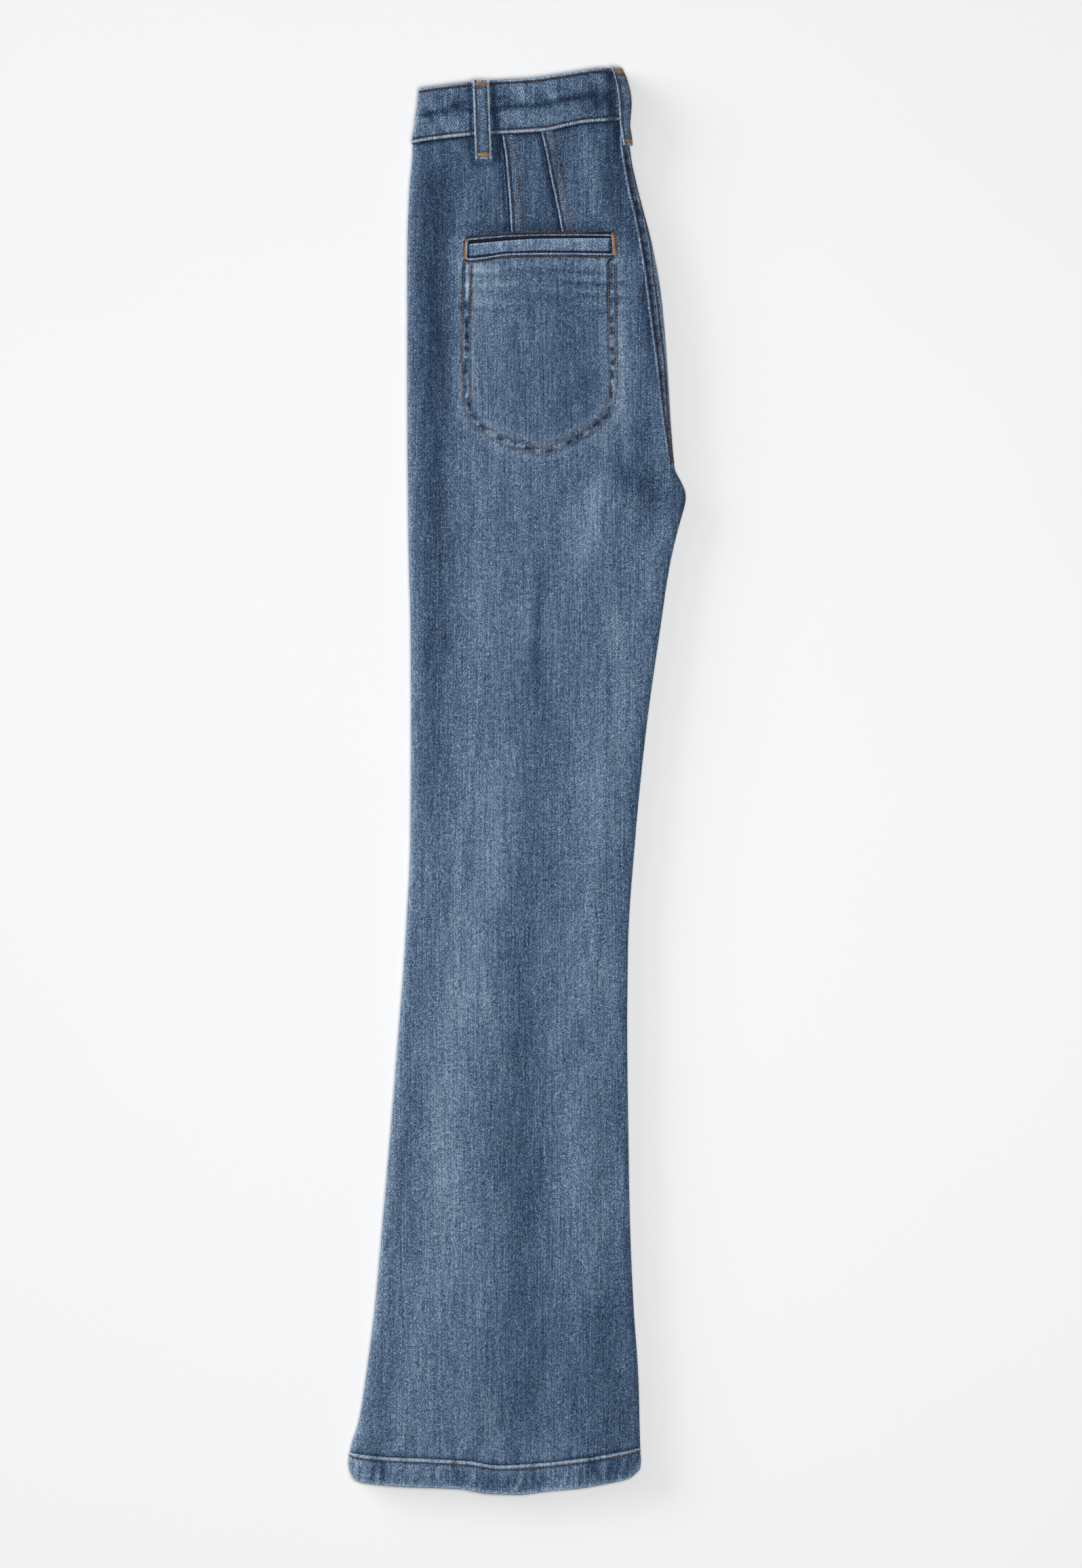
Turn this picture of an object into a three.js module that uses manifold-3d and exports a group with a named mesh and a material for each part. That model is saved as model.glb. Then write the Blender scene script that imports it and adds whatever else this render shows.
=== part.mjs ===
// Flared denim jeans, folded in half along the centre back and laid flat with the left back panel up.
// Millimetres: +X runs towards the inseam, +Y towards the waist and +Z up from the surface they lie on.
// Folded like this there are four layers: left back, left front, right front and right back.
import * as THREE from "three";
import { mergeVertices } from "three/addons/utils/BufferGeometryUtils.js";
import Module from "manifold-3d";

const wasm = await Module();
wasm.setup();

// Driving dimensions of the cloth and of the folded stack
const CLOTH = 1.2; // one layer of stretch denim
const BAND_CLOTH = 2.8; // a waistband layer: outer cloth, facing and seam allowance
const HEM_CLOTH = 2.2; // the hem, turned up twice
const LOOP_CLOTH = 1.9; // a belt loop, folded in three
const GAP = 0.3; // between neighbouring pieces
const SEAM_GAP = 0.4; // where two curved edges are sewn together
const LEG_STACK = 11; // height of the four layers over the leg
const SEAT_STACK = 12.4;
const BAND_STACK = 13.4;
const EDGE = 4; // how far in a leg's folded edge rounds off
const FOLD_EDGE = 6.5; // the same for the fold along the centre back
const RIGHT_ZONE = 14; // strip along the right edge that holds either kind of edge
const FLAT_SHARE = 0.24; // share of the right strip's outline that is still level
const INSEAM_SHARE = 0.37; // where on that outline the inseam lies

// The outline seen from above: the folded outseam on the left, the inseam or centre back on the right
const OUTLINE = [
  { at: "hem fold", y: -584, left: -130, right: 97 },
  { at: "hem corner", y: -576, left: -138.5, right: 101 },
  { at: "hem stitching", y: -566, left: -140.2, right: 102.2 },
  { at: "hem top", y: -550, left: -137.5, right: 101.6 },
  { at: "above hem", y: -533, left: -132, right: 101.2 },
  { at: "flare", y: -499, left: -126.3, right: 100.4 },
  { at: "flare", y: -432, left: -117.8, right: 96 },
  { at: "flare", y: -364, left: -111.7, right: 93.2 },
  { at: "shin", y: -297, left: -105.8, right: 92 },
  { at: "shin", y: -207, left: -98.6, right: 91 },
  { at: "below knee", y: -139, left: -93.4, right: 91.6 },
  { at: "knee", y: -49, left: -89, right: 97.5 },
  { at: "above knee", y: 41, left: -88.4, right: 106.5 },
  { at: "thigh", y: 131, left: -88.8, right: 119 },
  { at: "thigh", y: 176, left: -90, right: 125.7 },
  { at: "upper thigh", y: 207, left: -90.6, right: 132.6 },
  { at: "under crotch", y: 224, left: -90.9, right: 137.4 },
  { at: "crotch", y: 237, left: -91, right: 140.3 },
  { at: "over crotch", y: 247, left: -91.1, right: 136.6 },
  { at: "seat curve", y: 260, left: -91.2, right: 130.4 },
  { at: "seat curve", y: 285, left: -91.3, right: 128 },
  { at: "seat", y: 349, left: -91.5, right: 124 },
  { at: "seat", y: 401, left: -91.5, right: 119.5 },
  { at: "hip", y: 446, left: -91.3, right: 111.6 },
  { at: "high hip", y: 491, left: -89.7, right: 99.8 },
  { at: "high hip", y: 517, left: -87.3, right: 94.2 },
  { at: "waist seam", y: 549, left: -86, right: 90.6 },
];

// The two edges of the hem and of the waistband, u running from left to right
const HEM_EDGE = [
  { u: 0, y: -573 },
  { u: 0.017, y: -580 },
  { u: 0.05, y: -582.8 },
  { u: 0.2, y: -586 },
  { u: 0.38, y: -587.6 },
  { u: 0.48, y: -591.6 },
  { u: 0.58, y: -592.4 },
  { u: 0.68, y: -589.6 },
  { u: 0.79, y: -587.2 },
  { u: 0.89, y: -583 },
  { u: 0.96, y: -579 },
  { u: 1, y: -571.4 },
];
const HEM_TOP = [
  { u: 0, y: -557 },
  { u: 0.1, y: -560 },
  { u: 0.3, y: -562.2 },
  { u: 0.41, y: -563.6 },
  { u: 0.51, y: -567.2 },
  { u: 0.65, y: -565.6 },
  { u: 0.78, y: -562.2 },
  { u: 0.89, y: -558.2 },
  { u: 1, y: -552.8 },
];
const BAND_BOTTOM = [
  { u: 0, y: 529 },
  { u: 0.08, y: 531.6 },
  { u: 0.29, y: 535.8 },
  { u: 0.6, y: 539 },
  { u: 0.82, y: 546.6 },
  { u: 1, y: 548.4 },
];
const BAND_TOP = [
  { u: 0, y: 574.8 },
  { u: 0.14, y: 578 },
  { u: 0.3, y: 581 },
  { u: 0.56, y: 583.6 },
  { u: 0.75, y: 588 },
  { u: 0.92, y: 591.8 },
  { u: 1, y: 591.6 },
];
const BAND_EDGES = [
  { share: 0, left: -88.2, right: 91.2 },
  { share: 0.35, left: -85.4, right: 90.8 },
  { share: 0.75, left: -83.2, right: 88.6 },
  { share: 1, left: -82, right: 85 },
];

// How far the seat seam lies in from the folded right edge, going up from the crotch
const SEAT_SEAM = [
  { y: 237, in: 0 },
  { y: 262, in: 0 },
  { y: 285, in: 0.4 },
  { y: 316, in: 1 },
  { y: 349, in: 1.6 },
  { y: 382, in: 2.8 },
  { y: 414, in: 3.3 },
  { y: 446, in: 1 },
  { y: 491, in: 0.5 },
  { y: 550, in: 0.5 },
];

// The largest soft folds of the top panel: ridges, or troughs where the rise is negative
const FOLDS = [
  { name: "shin ridge", x0: -12, y0: 20, x1: -34, y1: -540, width: 27, rise: 2 },
  { name: "inseam ridge", x0: 72, y0: 0, x1: 64, y1: -500, width: 19, rise: 1.6 },
  { name: "thigh ridge", x0: -28, y0: 250, x1: -22, y1: 70, width: 24, rise: 1.2 },
  { name: "inner thigh ridge", x0: 70, y0: 240, x1: 56, y1: 60, width: 17, rise: 1.2 },
  { name: "hip trough", x0: -62, y0: 500, x1: -60, y1: 90, width: 14, rise: -1.2 },
  { name: "seat fullness", x0: 18, y0: 440, x1: 20, y1: 330, width: 60, rise: 1.4 },
];
const FOLD_FADE = 45; // length over which a fold dies out past its ends

// Back pocket: a stitched window with a welt in it, over a bag sewn through to the outside
const WINDOW = {
  leftX: -40.6,
  rightX: 77.4,
  leftTop: 448.2,
  rightTop: 452,
  leftBottom: 434.6,
  rightBottom: 438.4,
};
const WELT_SLIT = 2; // the slit left open above the welt
const WELT_CLOTH = 1;
const WELT_SUNK = 0.15; // how far the welt lies under the panel's face
const BAG_CLOTH = 1;
const BAG = {
  left: -45,
  right: 81.5,
  top: 455,
  shoulder: 320,
  bottom: 270,
  pointX: 21,
  slopeRun: 32, // the two slopes that meet in the point
  slopeRise: 9,
  corner: 40,
};

// Waist darts, each a tuck pressed towards the side with its folded edge on the left
const DARTS = [
  { topX: -12.6, topY: 534.6, lowX: -5.2, lowY: 459 },
  { topX: 19.6, topY: 537, lowX: 36.6, lowY: 457.4 },
];
const DART_WIDTH = 7.4;
const DART_RISE = 0.9;
const SEAM_WIDTH = 6.5; // the felled seat seam with its two rows of stitching
const SEAM_RISE = 0.7;
const SEAM_FROM = 262; // the seat seam shows on top from here up
const ROOT = CLOTH * 0.6; // how deep a raised strip is rooted in the panel

// Belt loops: centre line of the one that shows whole, and reach of the one on the fold
const SIDE_LOOP = { topX: -30.6, topY: 581.4, lowX: -28.4, lowY: 515.6, width: 13.6 };
const CENTRE_LOOP = { topY: 592.2, lowY: 527.4, fromShare: 0.13, toShare: 0.56 };
const LOOP_LIFT = 1.9; // how far a loop stands off the waistband in its middle

const DENIM = 0x4f6a8c;
const DENIM_WORN = 0x6f88a6;
const DENIM_DARK = 0x43597a;

// A smooth curve through the rows of a table, without overshoot between them
function along(table, key, field, at) {
  const last = table.length - 1;
  if (at <= table[0][key]) return table[0][field];
  if (at >= table[last][key]) return table[last][field];
  const i = table.findIndex((row) => row[key] > at) - 1;
  const slope = (j) => (table[j + 1][field] - table[j][field]) / (table[j + 1][key] - table[j][key]);
  const tangent = (j) => {
    if (j === 0) return slope(0);
    if (j === last) return slope(last - 1);
    const before = slope(j - 1);
    const after = slope(j);
    return before * after <= 0 ? 0 : (2 * before * after) / (before + after);
  };
  const span = table[i + 1][key] - table[i][key];
  const f = (at - table[i][key]) / span;
  const rest = 1 - f;
  return (
    table[i][field] * rest * rest * (1 + 2 * f) +
    table[i + 1][field] * f * f * (3 - 2 * f) +
    span * f * rest * (tangent(i) * rest - tangent(i + 1) * f)
  );
}

const mix = (a, b, f) => a + (b - a) * f;
const smooth = (low, high, v) => THREE.MathUtils.smoothstep(v, low, high);

// Body rows are named by s, a height in mm that is level in mid leg and bends to the hem and the waist seam
const ROW_FIRST = -562;
const ROW_LAST = 538;
const HEM_REACH = 150; // rows this near the hem follow its curve
const WAIST_REACH = 190;

function rowY(s, u) {
  const hem = along(HEM_TOP, "u", "y", u) + SEAM_GAP - ROW_FIRST;
  const waist = along(BAND_BOTTOM, "u", "y", u) - SEAM_GAP - ROW_LAST;
  const nearHem = 1 - smooth(ROW_FIRST, ROW_FIRST + HEM_REACH, s);
  const nearWaist = smooth(ROW_LAST - WAIST_REACH, ROW_LAST, s);
  return s + hem * nearHem + waist * nearWaist;
}

// Height that the folds add at a place on the top panel
function relief(x, y) {
  let sum = 0;
  for (const fold of FOLDS) {
    const run = new THREE.Vector2(fold.x1 - fold.x0, fold.y1 - fold.y0);
    const length = run.length();
    run.divideScalar(length);
    const dx = x - fold.x0;
    const dy = y - fold.y0;
    const lengthwise = dx * run.x + dy * run.y;
    const across = dx * run.y - dy * run.x;
    const past = Math.max(0, -lengthwise, lengthwise - length) / FOLD_FADE;
    sum += fold.rise * Math.exp(-((across / fold.width) ** 2) - past ** 2);
  }
  return sum;
}

const stackHeight = (s) => mix(LEG_STACK, SEAT_STACK, smooth(180, 330, s) - smooth(470, 538, s) * 0.4);
// 0 where the right edge is two leg edges, 1 where it is the one fold of the centre back
const foldedShare = (s) => smooth(226, 246, s);

// Everything that a row's outline needs
function bodyRow(s) {
  const left = along(OUTLINE, "y", "left", rowY(s, 0));
  const right = along(OUTLINE, "y", "right", rowY(s, 1));
  return { s, left, right, height: stackHeight(s), folded: foldedShare(s), y: (u) => rowY(s, u) };
}

function place(row, x, z) {
  const u = (x - row.left) / (row.right - row.left);
  return new THREE.Vector3(x, row.y(THREE.MathUtils.clamp(u, 0, 1)), z);
}

// A place on the level top, let down by depth
function onTop(row, x, depth) {
  const p = place(row, x, row.height - depth);
  const inner = Math.min(x - row.left - EDGE, row.right - RIGHT_ZONE - x);
  p.z += relief(x, p.y) * smooth(0, 18, inner);
  return p;
}

// A place on one leg's folded left edge: 90 degrees is its top, 180 its tip and 270 its underside
function onLeft(row, middle, half, degrees, depth) {
  const a = THREE.MathUtils.degToRad(degrees);
  const x = row.left + EDGE + (EDGE - depth) * Math.cos(a);
  return place(row, x, middle + (half - depth) * Math.sin(a));
}

// A place on the right strip, from its top at share 0 round the edge to its underside at share 1
function onRight(row, share, depth) {
  const upper = share <= 0.5;
  const t = upper ? share : 1 - share;
  const sign = upper ? 1 : -1;
  const shape = (edge, middle, half, sweep) => {
    const bend = row.right - edge;
    if (t <= FLAT_SHARE) {
      const x = mix(row.right - RIGHT_ZONE, bend, t / FLAT_SHARE);
      return { x, z: middle + half - depth };
    }
    const a = Math.PI / 2 - (sweep * (t - FLAT_SHARE)) / (0.5 - FLAT_SHARE);
    return { x: bend + (edge - depth) * Math.cos(a), z: middle + (half - depth) * Math.sin(a) };
  };
  const quarter = row.height / 4;
  const legs = shape(EDGE, quarter, quarter, Math.PI);
  const fold = shape(FOLD_EDGE, 0, 2 * quarter, Math.PI / 2);
  const x = mix(legs.x, fold.x, row.folded);
  const z = mix(legs.z, fold.z, row.folded);
  return place(row, x, row.height / 2 + sign * z);
}

// Share of the right outline at which the left back panel ends
const SEAM_HALF_GAP = 0.006;
function seamShare(s) {
  const inward = along(SEAT_SEAM, "y", "in", s);
  const angle = Math.acos(1 - inward / FOLD_EDGE);
  return 0.5 - ((0.5 - FLAT_SHARE) * angle) / (Math.PI / 2);
}
const CLOSED_FROM = 229; // the back panels close over the fold between these rows
const CLOSED_BY = 238;
const closing = (s) => smooth(CLOSED_FROM, CLOSED_BY, s);
const panelEnd = (s) => mix(INSEAM_SHARE, seamShare(s) - SEAM_HALF_GAP, closing(s));
const bottomEnd = (s) => mix(1 - INSEAM_SHARE, seamShare(s) + SEAM_HALF_GAP, closing(s));

const range = (count) => Array.from({ length: count + 1 }, (_, i) => i / count);
const COLUMNS = range(10);
// Shares of the right strip: two on the level, then steps round the edge as far as its end
const roundTo = (end, steps = 5) => {
  const turn = range(steps).map((f) => mix(FLAT_SHARE, end, f));
  return [0, FLAT_SHARE / 2, ...turn];
};
const topX = (row, f) => mix(row.left + EDGE, row.right - RIGHT_ZONE, f);

// Rows of the body: those of the outline table, and one between where they are far apart
const CROTCH_ROW = (CLOSED_FROM + CLOSED_BY) / 2 - 3;
const LONGEST_STEP = 62;
function bodyRows() {
  const inside = OUTLINE.map((r) => r.y).filter((y) => y > ROW_FIRST + 12 && y < ROW_LAST - 15);
  const marks = [ROW_FIRST, ...inside, ROW_LAST];
  const all = marks.flatMap((s, i) => {
    const next = marks[i + 1];
    return next !== undefined && next - s > LONGEST_STEP ? [s, (s + next) / 2] : [s];
  });
  return [...all, CROTCH_ROW].sort((a, b) => a - b).map(bodyRow);
}

// Left back panel, one line of its section from the outseam over the top to the seat seam or inseam
function topLine(row, depth) {
  const upper = row.height * 0.75;
  const quarter = row.height / 4;
  const left = range(3).map((f) => onLeft(row, upper, quarter, mix(180, 90, f), depth));
  const level = COLUMNS.slice(1).map((f) => onTop(row, topX(row, f), depth));
  const right = roundTo(panelEnd(row.s)).slice(1).map((share) => onRight(row, share, depth));
  return [...left, ...level, ...right];
}

// Right back panel, from its outseam under the stack and up round the centre back fold
function bottomLine(row, depth) {
  const quarter = row.height / 4;
  const left = range(3).map((f) => onLeft(row, quarter, quarter, mix(180, 270, f), depth));
  const level = COLUMNS.slice(1).map((f) => place(row, topX(row, f), depth));
  const right = roundTo(1 - bottomEnd(row.s), 7).slice(1).map((share) => onRight(row, 1 - share, depth));
  return [...left, ...level, ...right];
}

// Both front panels as one closed section from the left groove: bare at the edges, else under the backs
const LAP = CLOTH + GAP; // how deep the fronts lie under the back panels
const STEP_DEGREES = 6; // keeps the fronts' step clear of the back panels' edge
const STEP_SHARE = 0.012;
const LEFT_POINTS = 8; // points of a section on one folded left edge
function frontLoop(row) {
  const quarter = row.height / 4;
  const upper = (from, to, count, depth) =>
    range(count).map((f) => onLeft(row, 3 * quarter, quarter, mix(from, to, f), depth));
  const lower = (from, to, count, depth) =>
    range(count).map((f) => onLeft(row, quarter, quarter, mix(from, to, f), depth));
  const level = COLUMNS.slice(1).map((f) => onTop(row, topX(row, f), LAP));
  const under = COLUMNS.slice(1, -1).map((f) => place(row, topX(row, 1 - f), LAP));
  const folded = closing(row.s) === 1;
  const near = folded ? 0.47 : panelEnd(row.s) + STEP_SHARE;
  const far = folded ? 0.53 : Math.max(bottomEnd(row.s) - STEP_SHARE, near + 0.004);
  const bare = LAP * closing(row.s);
  const right = [
    ...roundTo(near).slice(1).map((share) => onRight(row, share, LAP)),
    ...range(8).map((f) => onRight(row, mix(near + 0.0005, far - 0.0005, f), bare)),
    ...roundTo(1 - far).reverse().map((share) => onRight(row, 1 - share, LAP)),
  ];
  return [
    ...upper(270, 180 + STEP_DEGREES, 3, 0),
    ...upper(180 + STEP_DEGREES - 0.2, 90, 3, LAP),
    ...level,
    ...right,
    ...under,
    ...lower(270, 180 - STEP_DEGREES + 0.2, 3, LAP),
    ...lower(180 - STEP_DEGREES, 90, 3, 0).slice(0, -1),
  ];
}

// Turns a geometry so that its faces point out
function facingOut(geometry) {
  const p = geometry.getAttribute("position");
  const index = geometry.index.array;
  const [a, b, c] = [new THREE.Vector3(), new THREE.Vector3(), new THREE.Vector3()];
  let volume = 0;
  for (let i = 0; i < index.length; i += 3) {
    a.fromBufferAttribute(p, index[i]);
    b.fromBufferAttribute(p, index[i + 1]);
    c.fromBufferAttribute(p, index[i + 2]);
    volume += a.dot(b.cross(c));
  }
  if (volume < 0)
    for (let i = 0; i < index.length; i += 3) [index[i + 1], index[i + 2]] = [index[i + 2], index[i + 1]];
  return geometry;
}

function geometryOf(points, faces) {
  const geometry = new THREE.BufferGeometry().setFromPoints(points);
  geometry.setIndex(faces);
  return facingOut(geometry);
}

// A wall of cloth between two sheets of points with the same rows and columns
function wall(outer, inner, ring = false) {
  const rows = outer.length;
  const columns = outer[0].length;
  const points = [...outer.flat(), ...inner.flat()];
  const out = (i, j) => i * columns + (j % columns);
  const within = (i, j) => rows * columns + out(i, j);
  const faces = [];
  const quad = (a, b, c, d) => faces.push(a, b, c, a, c, d);
  const spans = ring ? columns : columns - 1;
  for (let i = 0; i < rows - 1; i++) {
    for (let j = 0; j < spans; j++) {
      quad(out(i, j), out(i, j + 1), out(i + 1, j + 1), out(i + 1, j));
      quad(within(i, j), within(i + 1, j), within(i + 1, j + 1), within(i, j + 1));
    }
    if (ring) continue;
    quad(out(i, 0), out(i + 1, 0), within(i + 1, 0), within(i, 0));
    quad(out(i + 1, spans), out(i, spans), within(i, spans), within(i + 1, spans));
  }
  for (let j = 0; j < spans; j++) {
    quad(out(0, j + 1), out(0, j), within(0, j), within(0, j + 1));
    quad(out(rows - 1, j), out(rows - 1, j + 1), within(rows - 1, j + 1), within(rows - 1, j));
  }
  return geometryOf(points, faces);
}

// A filled solid through closed sections across Y; bridges pair the points that lie over and under each other
function filled(loops, bridges) {
  const rows = loops.length;
  const columns = loops[0].length;
  const at = (i, j) => i * columns + (j % columns);
  const faces = [];
  for (let i = 0; i < rows - 1; i++)
    for (let j = 0; j < columns; j++)
      faces.push(at(i, j), at(i, j + 1), at(i + 1, j + 1), at(i, j), at(i + 1, j + 1), at(i + 1, j));
  const between = (a, b) => {
    const count = ((b - a + columns) % columns) + 1;
    return Array.from({ length: count }, (_, i) => (a + i) % columns);
  };
  const last = bridges.length - 1;
  const cells = [
    between(bridges[0][1], bridges[0][0]),
    ...bridges.slice(1).map(([over, under], i) => [bridges[i][0], over, under, bridges[i][1]]),
    between(bridges[last][0], bridges[last][1]),
  ];
  for (const i of [0, rows - 1]) {
    const flat = loops[i].map((p) => new THREE.Vector2(p.x, p.z));
    const asDrawn = (i === 0) === THREE.ShapeUtils.isClockWise(flat);
    for (const cell of cells) {
      for (const corners of THREE.ShapeUtils.triangulateShape(cell.map((j) => flat[j]), [])) {
        const face = corners.map((k) => at(i, cell[k]));
        faces.push(...(asDrawn ? face : face.reverse()));
      }
    }
  }
  return geometryOf(loops.flat(), faces);
}

// three.js geometry to a solid that can be cut, and back
function solid(geometry) {
  const bare = geometry.clone();
  bare.deleteAttribute("normal");
  bare.deleteAttribute("uv");
  const merged = mergeVertices(bare, 1e-4);
  return new wasm.Manifold(
    new wasm.Mesh({
      numProp: 3,
      vertProperties: merged.getAttribute("position").array,
      triVerts: new Uint32Array(merged.index.array),
    }),
  );
}
function geometryFrom(manifold) {
  const mesh = manifold.getMesh();
  const geometry = new THREE.BufferGeometry();
  geometry.setAttribute("position", new THREE.BufferAttribute(mesh.vertProperties, 3));
  geometry.setIndex(new THREE.BufferAttribute(mesh.triVerts, 1));
  return geometry;
}
// A tall prism over an outline drawn on the XY plane
function prism(points) {
  const shape = new THREE.Shape(points.map(([x, y]) => new THREE.Vector2(x, y)));
  const geometry = new THREE.ExtrudeGeometry(shape, { depth: 2 * SEAT_STACK, bevelEnabled: false });
  return solid(geometry.translate(0, 0, SEAT_STACK / 3));
}

// The body row that runs through a place on the plan
function rowThrough(x, y) {
  let row = bodyRow(y);
  for (let i = 0; i < 8; i++) {
    const u = THREE.MathUtils.clamp((x - row.left) / (row.right - row.left), 0, 1);
    row = bodyRow(row.s + y - row.y(u));
  }
  return row;
}
// Height of the top panel's outside there
const topHeight = (x, y) => onTop(rowThrough(x, y), x, 0).z;

// A patch that follows the top panel between two heights above it; each line gives y at a share of its width
const PATCH_COLUMNS = range(9);
function patch(lines, x0, x1, above, below) {
  const sheet = (offset) =>
    lines.map((y) =>
      PATCH_COLUMNS.map((f) => {
        const x = mix(x0, x1, f);
        return new THREE.Vector3(x, y(f), topHeight(x, y(f)) + offset);
      }),
    );
  return wall(sheet(above), sheet(below));
}

// A dart is a raised strip, steep on its folded left side and dying away into the panel on its right
function dartTuck(dart) {
  const line = (f, heights) => {
    const x = mix(dart.topX, dart.lowX, f);
    const y = mix(dart.topY, dart.lowY, f);
    const z = topHeight(x, y);
    return heights.map((h, i) => new THREE.Vector3(x + (i * DART_WIDTH) / 2, y, z + h));
  };
  const steps = range(6);
  const outer = steps.map((f) => line(f, [DART_RISE, DART_RISE * 0.8, -ROOT * 0.3]));
  return solid(wall(outer, steps.map((f) => line(f, [-ROOT, -ROOT, -ROOT]))));
}

// The felled seat seam, a low band just inside the end of the left back panel
function seatSeam() {
  const rows = bodyRows().filter((row) => row.s > SEAM_FROM);
  const foldArc = (Math.PI / 2) * FOLD_EDGE;
  const width = (SEAM_WIDTH * (0.5 - FLAT_SHARE)) / foldArc;
  const line = (row, depths) => {
    const start = panelEnd(row.s) - width;
    return depths.map((depth, i) => onRight(row, start + (width * i) / (depths.length - 1), depth));
  };
  const outer = rows.map((row) => line(row, [ROOT * 0.4, -SEAM_RISE, -SEAM_RISE, -SEAM_RISE]));
  return solid(wall(outer, rows.map((row) => line(row, [ROOT, ROOT, ROOT, ROOT]))));
}

function windowCorners() {
  const w = WINDOW;
  return [
    [w.leftX, w.leftBottom],
    [w.rightX, w.rightBottom],
    [w.rightX, w.rightTop],
    [w.leftX, w.leftTop],
  ];
}

// The bag's outline: straight sides, rounded lower corners and a blunt point at the bottom
function bagOutline(grow = 0) {
  const shape = new THREE.Shape();
  const [left, right, low, top] = [BAG.left - grow, BAG.right + grow, BAG.bottom - grow, BAG.top + grow];
  const slopeY = low + BAG.slopeRise;
  const pull = BAG.corner / 2;
  shape.moveTo(left, top);
  shape.lineTo(left, BAG.shoulder);
  const slopeX = BAG.pointX - BAG.slopeRun;
  shape.bezierCurveTo(left, BAG.shoulder - pull, left + pull, slopeY + pull, slopeX, slopeY);
  shape.lineTo(BAG.pointX, low);
  shape.lineTo(BAG.pointX + BAG.slopeRun, slopeY);
  shape.bezierCurveTo(right - pull, slopeY + pull, right, BAG.shoulder - pull, right, BAG.shoulder);
  shape.lineTo(right, top);
  return shape.getPoints(5).map((p) => [p.x, p.y]);
}

// A slab that follows the top panel and reaches a little past the bag all round
function bagSlab(above, below) {
  const past = 2;
  const lines = range(6).map((f) => () => mix(BAG.top + past, BAG.bottom - past, f));
  return patch(lines, BAG.left - past, BAG.right + past, above, below);
}

// Body pieces
function leftBackPanel() {
  const rows = bodyRows();
  let panel = solid(wall(rows.map((r) => topLine(r, 0)), rows.map((r) => topLine(r, CLOTH))));
  panel = panel.subtract(prism(windowCorners()));
  for (const dart of DARTS) panel = panel.add(dartTuck(dart));
  return geometryFrom(panel.add(seatSeam()));
}

function rightBackPanel() {
  const rows = bodyRows();
  return wall(rows.map((r) => bottomLine(r, 0)), rows.map((r) => bottomLine(r, CLOTH)));
}

// Both front panels lie hidden inside the fold and share one solid, with their folded edges showing
function frontPanels() {
  const loops = bodyRows().map(frontLoop);
  const points = loops[0].length;
  const bridges = COLUMNS.slice(1, -1).map((_, i) => [LEFT_POINTS + i, points - LEFT_POINTS - i]);
  const room = solid(bagSlab(-CLOTH, -CLOTH - GAP - BAG_CLOTH - GAP)).intersect(prism(bagOutline(GAP)));
  return geometryFrom(solid(filled(loops, bridges)).subtract(room));
}

function pocketBag() {
  const slab = solid(bagSlab(-CLOTH - GAP, -CLOTH - GAP - BAG_CLOTH));
  return geometryFrom(slab.intersect(prism(bagOutline())));
}

function pocketWelt() {
  const w = WINDOW;
  const low = (f) => mix(w.leftBottom, w.rightBottom, f) + GAP;
  const high = (f) => mix(w.leftTop, w.rightTop, f) - WELT_SLIT;
  const middle = (f) => (low(f) + high(f)) / 2;
  return patch([high, middle, low], w.leftX + GAP, w.rightX - GAP, -WELT_SUNK, -WELT_SUNK - WELT_CLOTH);
}

// The waistband is one loop pressed flat: its back half wraps the fold, its front half lies within
function bandRow(share) {
  const left = along(BAND_EDGES, "share", "left", share);
  const right = along(BAND_EDGES, "share", "right", share);
  const y = (u) => mix(along(BAND_BOTTOM, "u", "y", u), along(BAND_TOP, "u", "y", u), share);
  return { s: ROW_LAST, left, right, height: BAND_STACK, folded: 1, y };
}

// One half of the band as a line that starts at its upper side fold and ends at its lower one
function bandLine(row, depth, half) {
  const middle = row.height - BAND_CLOTH - GAP / 2;
  const reach = row.height - middle;
  const outside = half === "back";
  // The side folds are parted by a few degrees, so that the two halves don't touch there
  const [tip, level] = outside ? [178, 90] : [184, 270];
  const skin = outside ? depth : BAND_CLOTH - depth;
  const side = (f, flip) => {
    const a = THREE.MathUtils.degToRad(mix(tip, level, f));
    const x = row.left + EDGE + (EDGE - skin) * Math.cos(a);
    const z = middle + (reach - skin) * Math.sin(a);
    return place(row, x, flip ? row.height - z : z);
  };
  const base = outside ? depth : BAND_CLOTH + GAP + depth;
  const tops = COLUMNS.slice(1).map((f) => place(row, topX(row, f), row.height - base));
  const over = roundTo(0.5).slice(1);
  const turn = [...over, ...over.slice(0, -1).reverse().map((share) => 1 - share), 1];
  const fold = turn.map((share) => onRight(row, share, base));
  const unders = COLUMNS.slice(1).map((f) => place(row, topX(row, 1 - f), base));
  const start = range(3).map((f) => side(f, false));
  const end = range(3).slice(1).map((f) => side(1 - f, true));
  return [...start, ...tops, ...fold, ...unders, ...end];
}

function waistband(half) {
  const rows = range(3).map(bandRow);
  return wall(rows.map((r) => bandLine(r, 0, half)), rows.map((r) => bandLine(r, BAND_CLOTH, half)));
}

// Belt loops stand off the waistband in the middle and meet the cloth at both ends
const loopLift = (f) => GAP + LOOP_LIFT * Math.sin(Math.PI * Math.min(1, f * 1.25)) ** 2;

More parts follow.
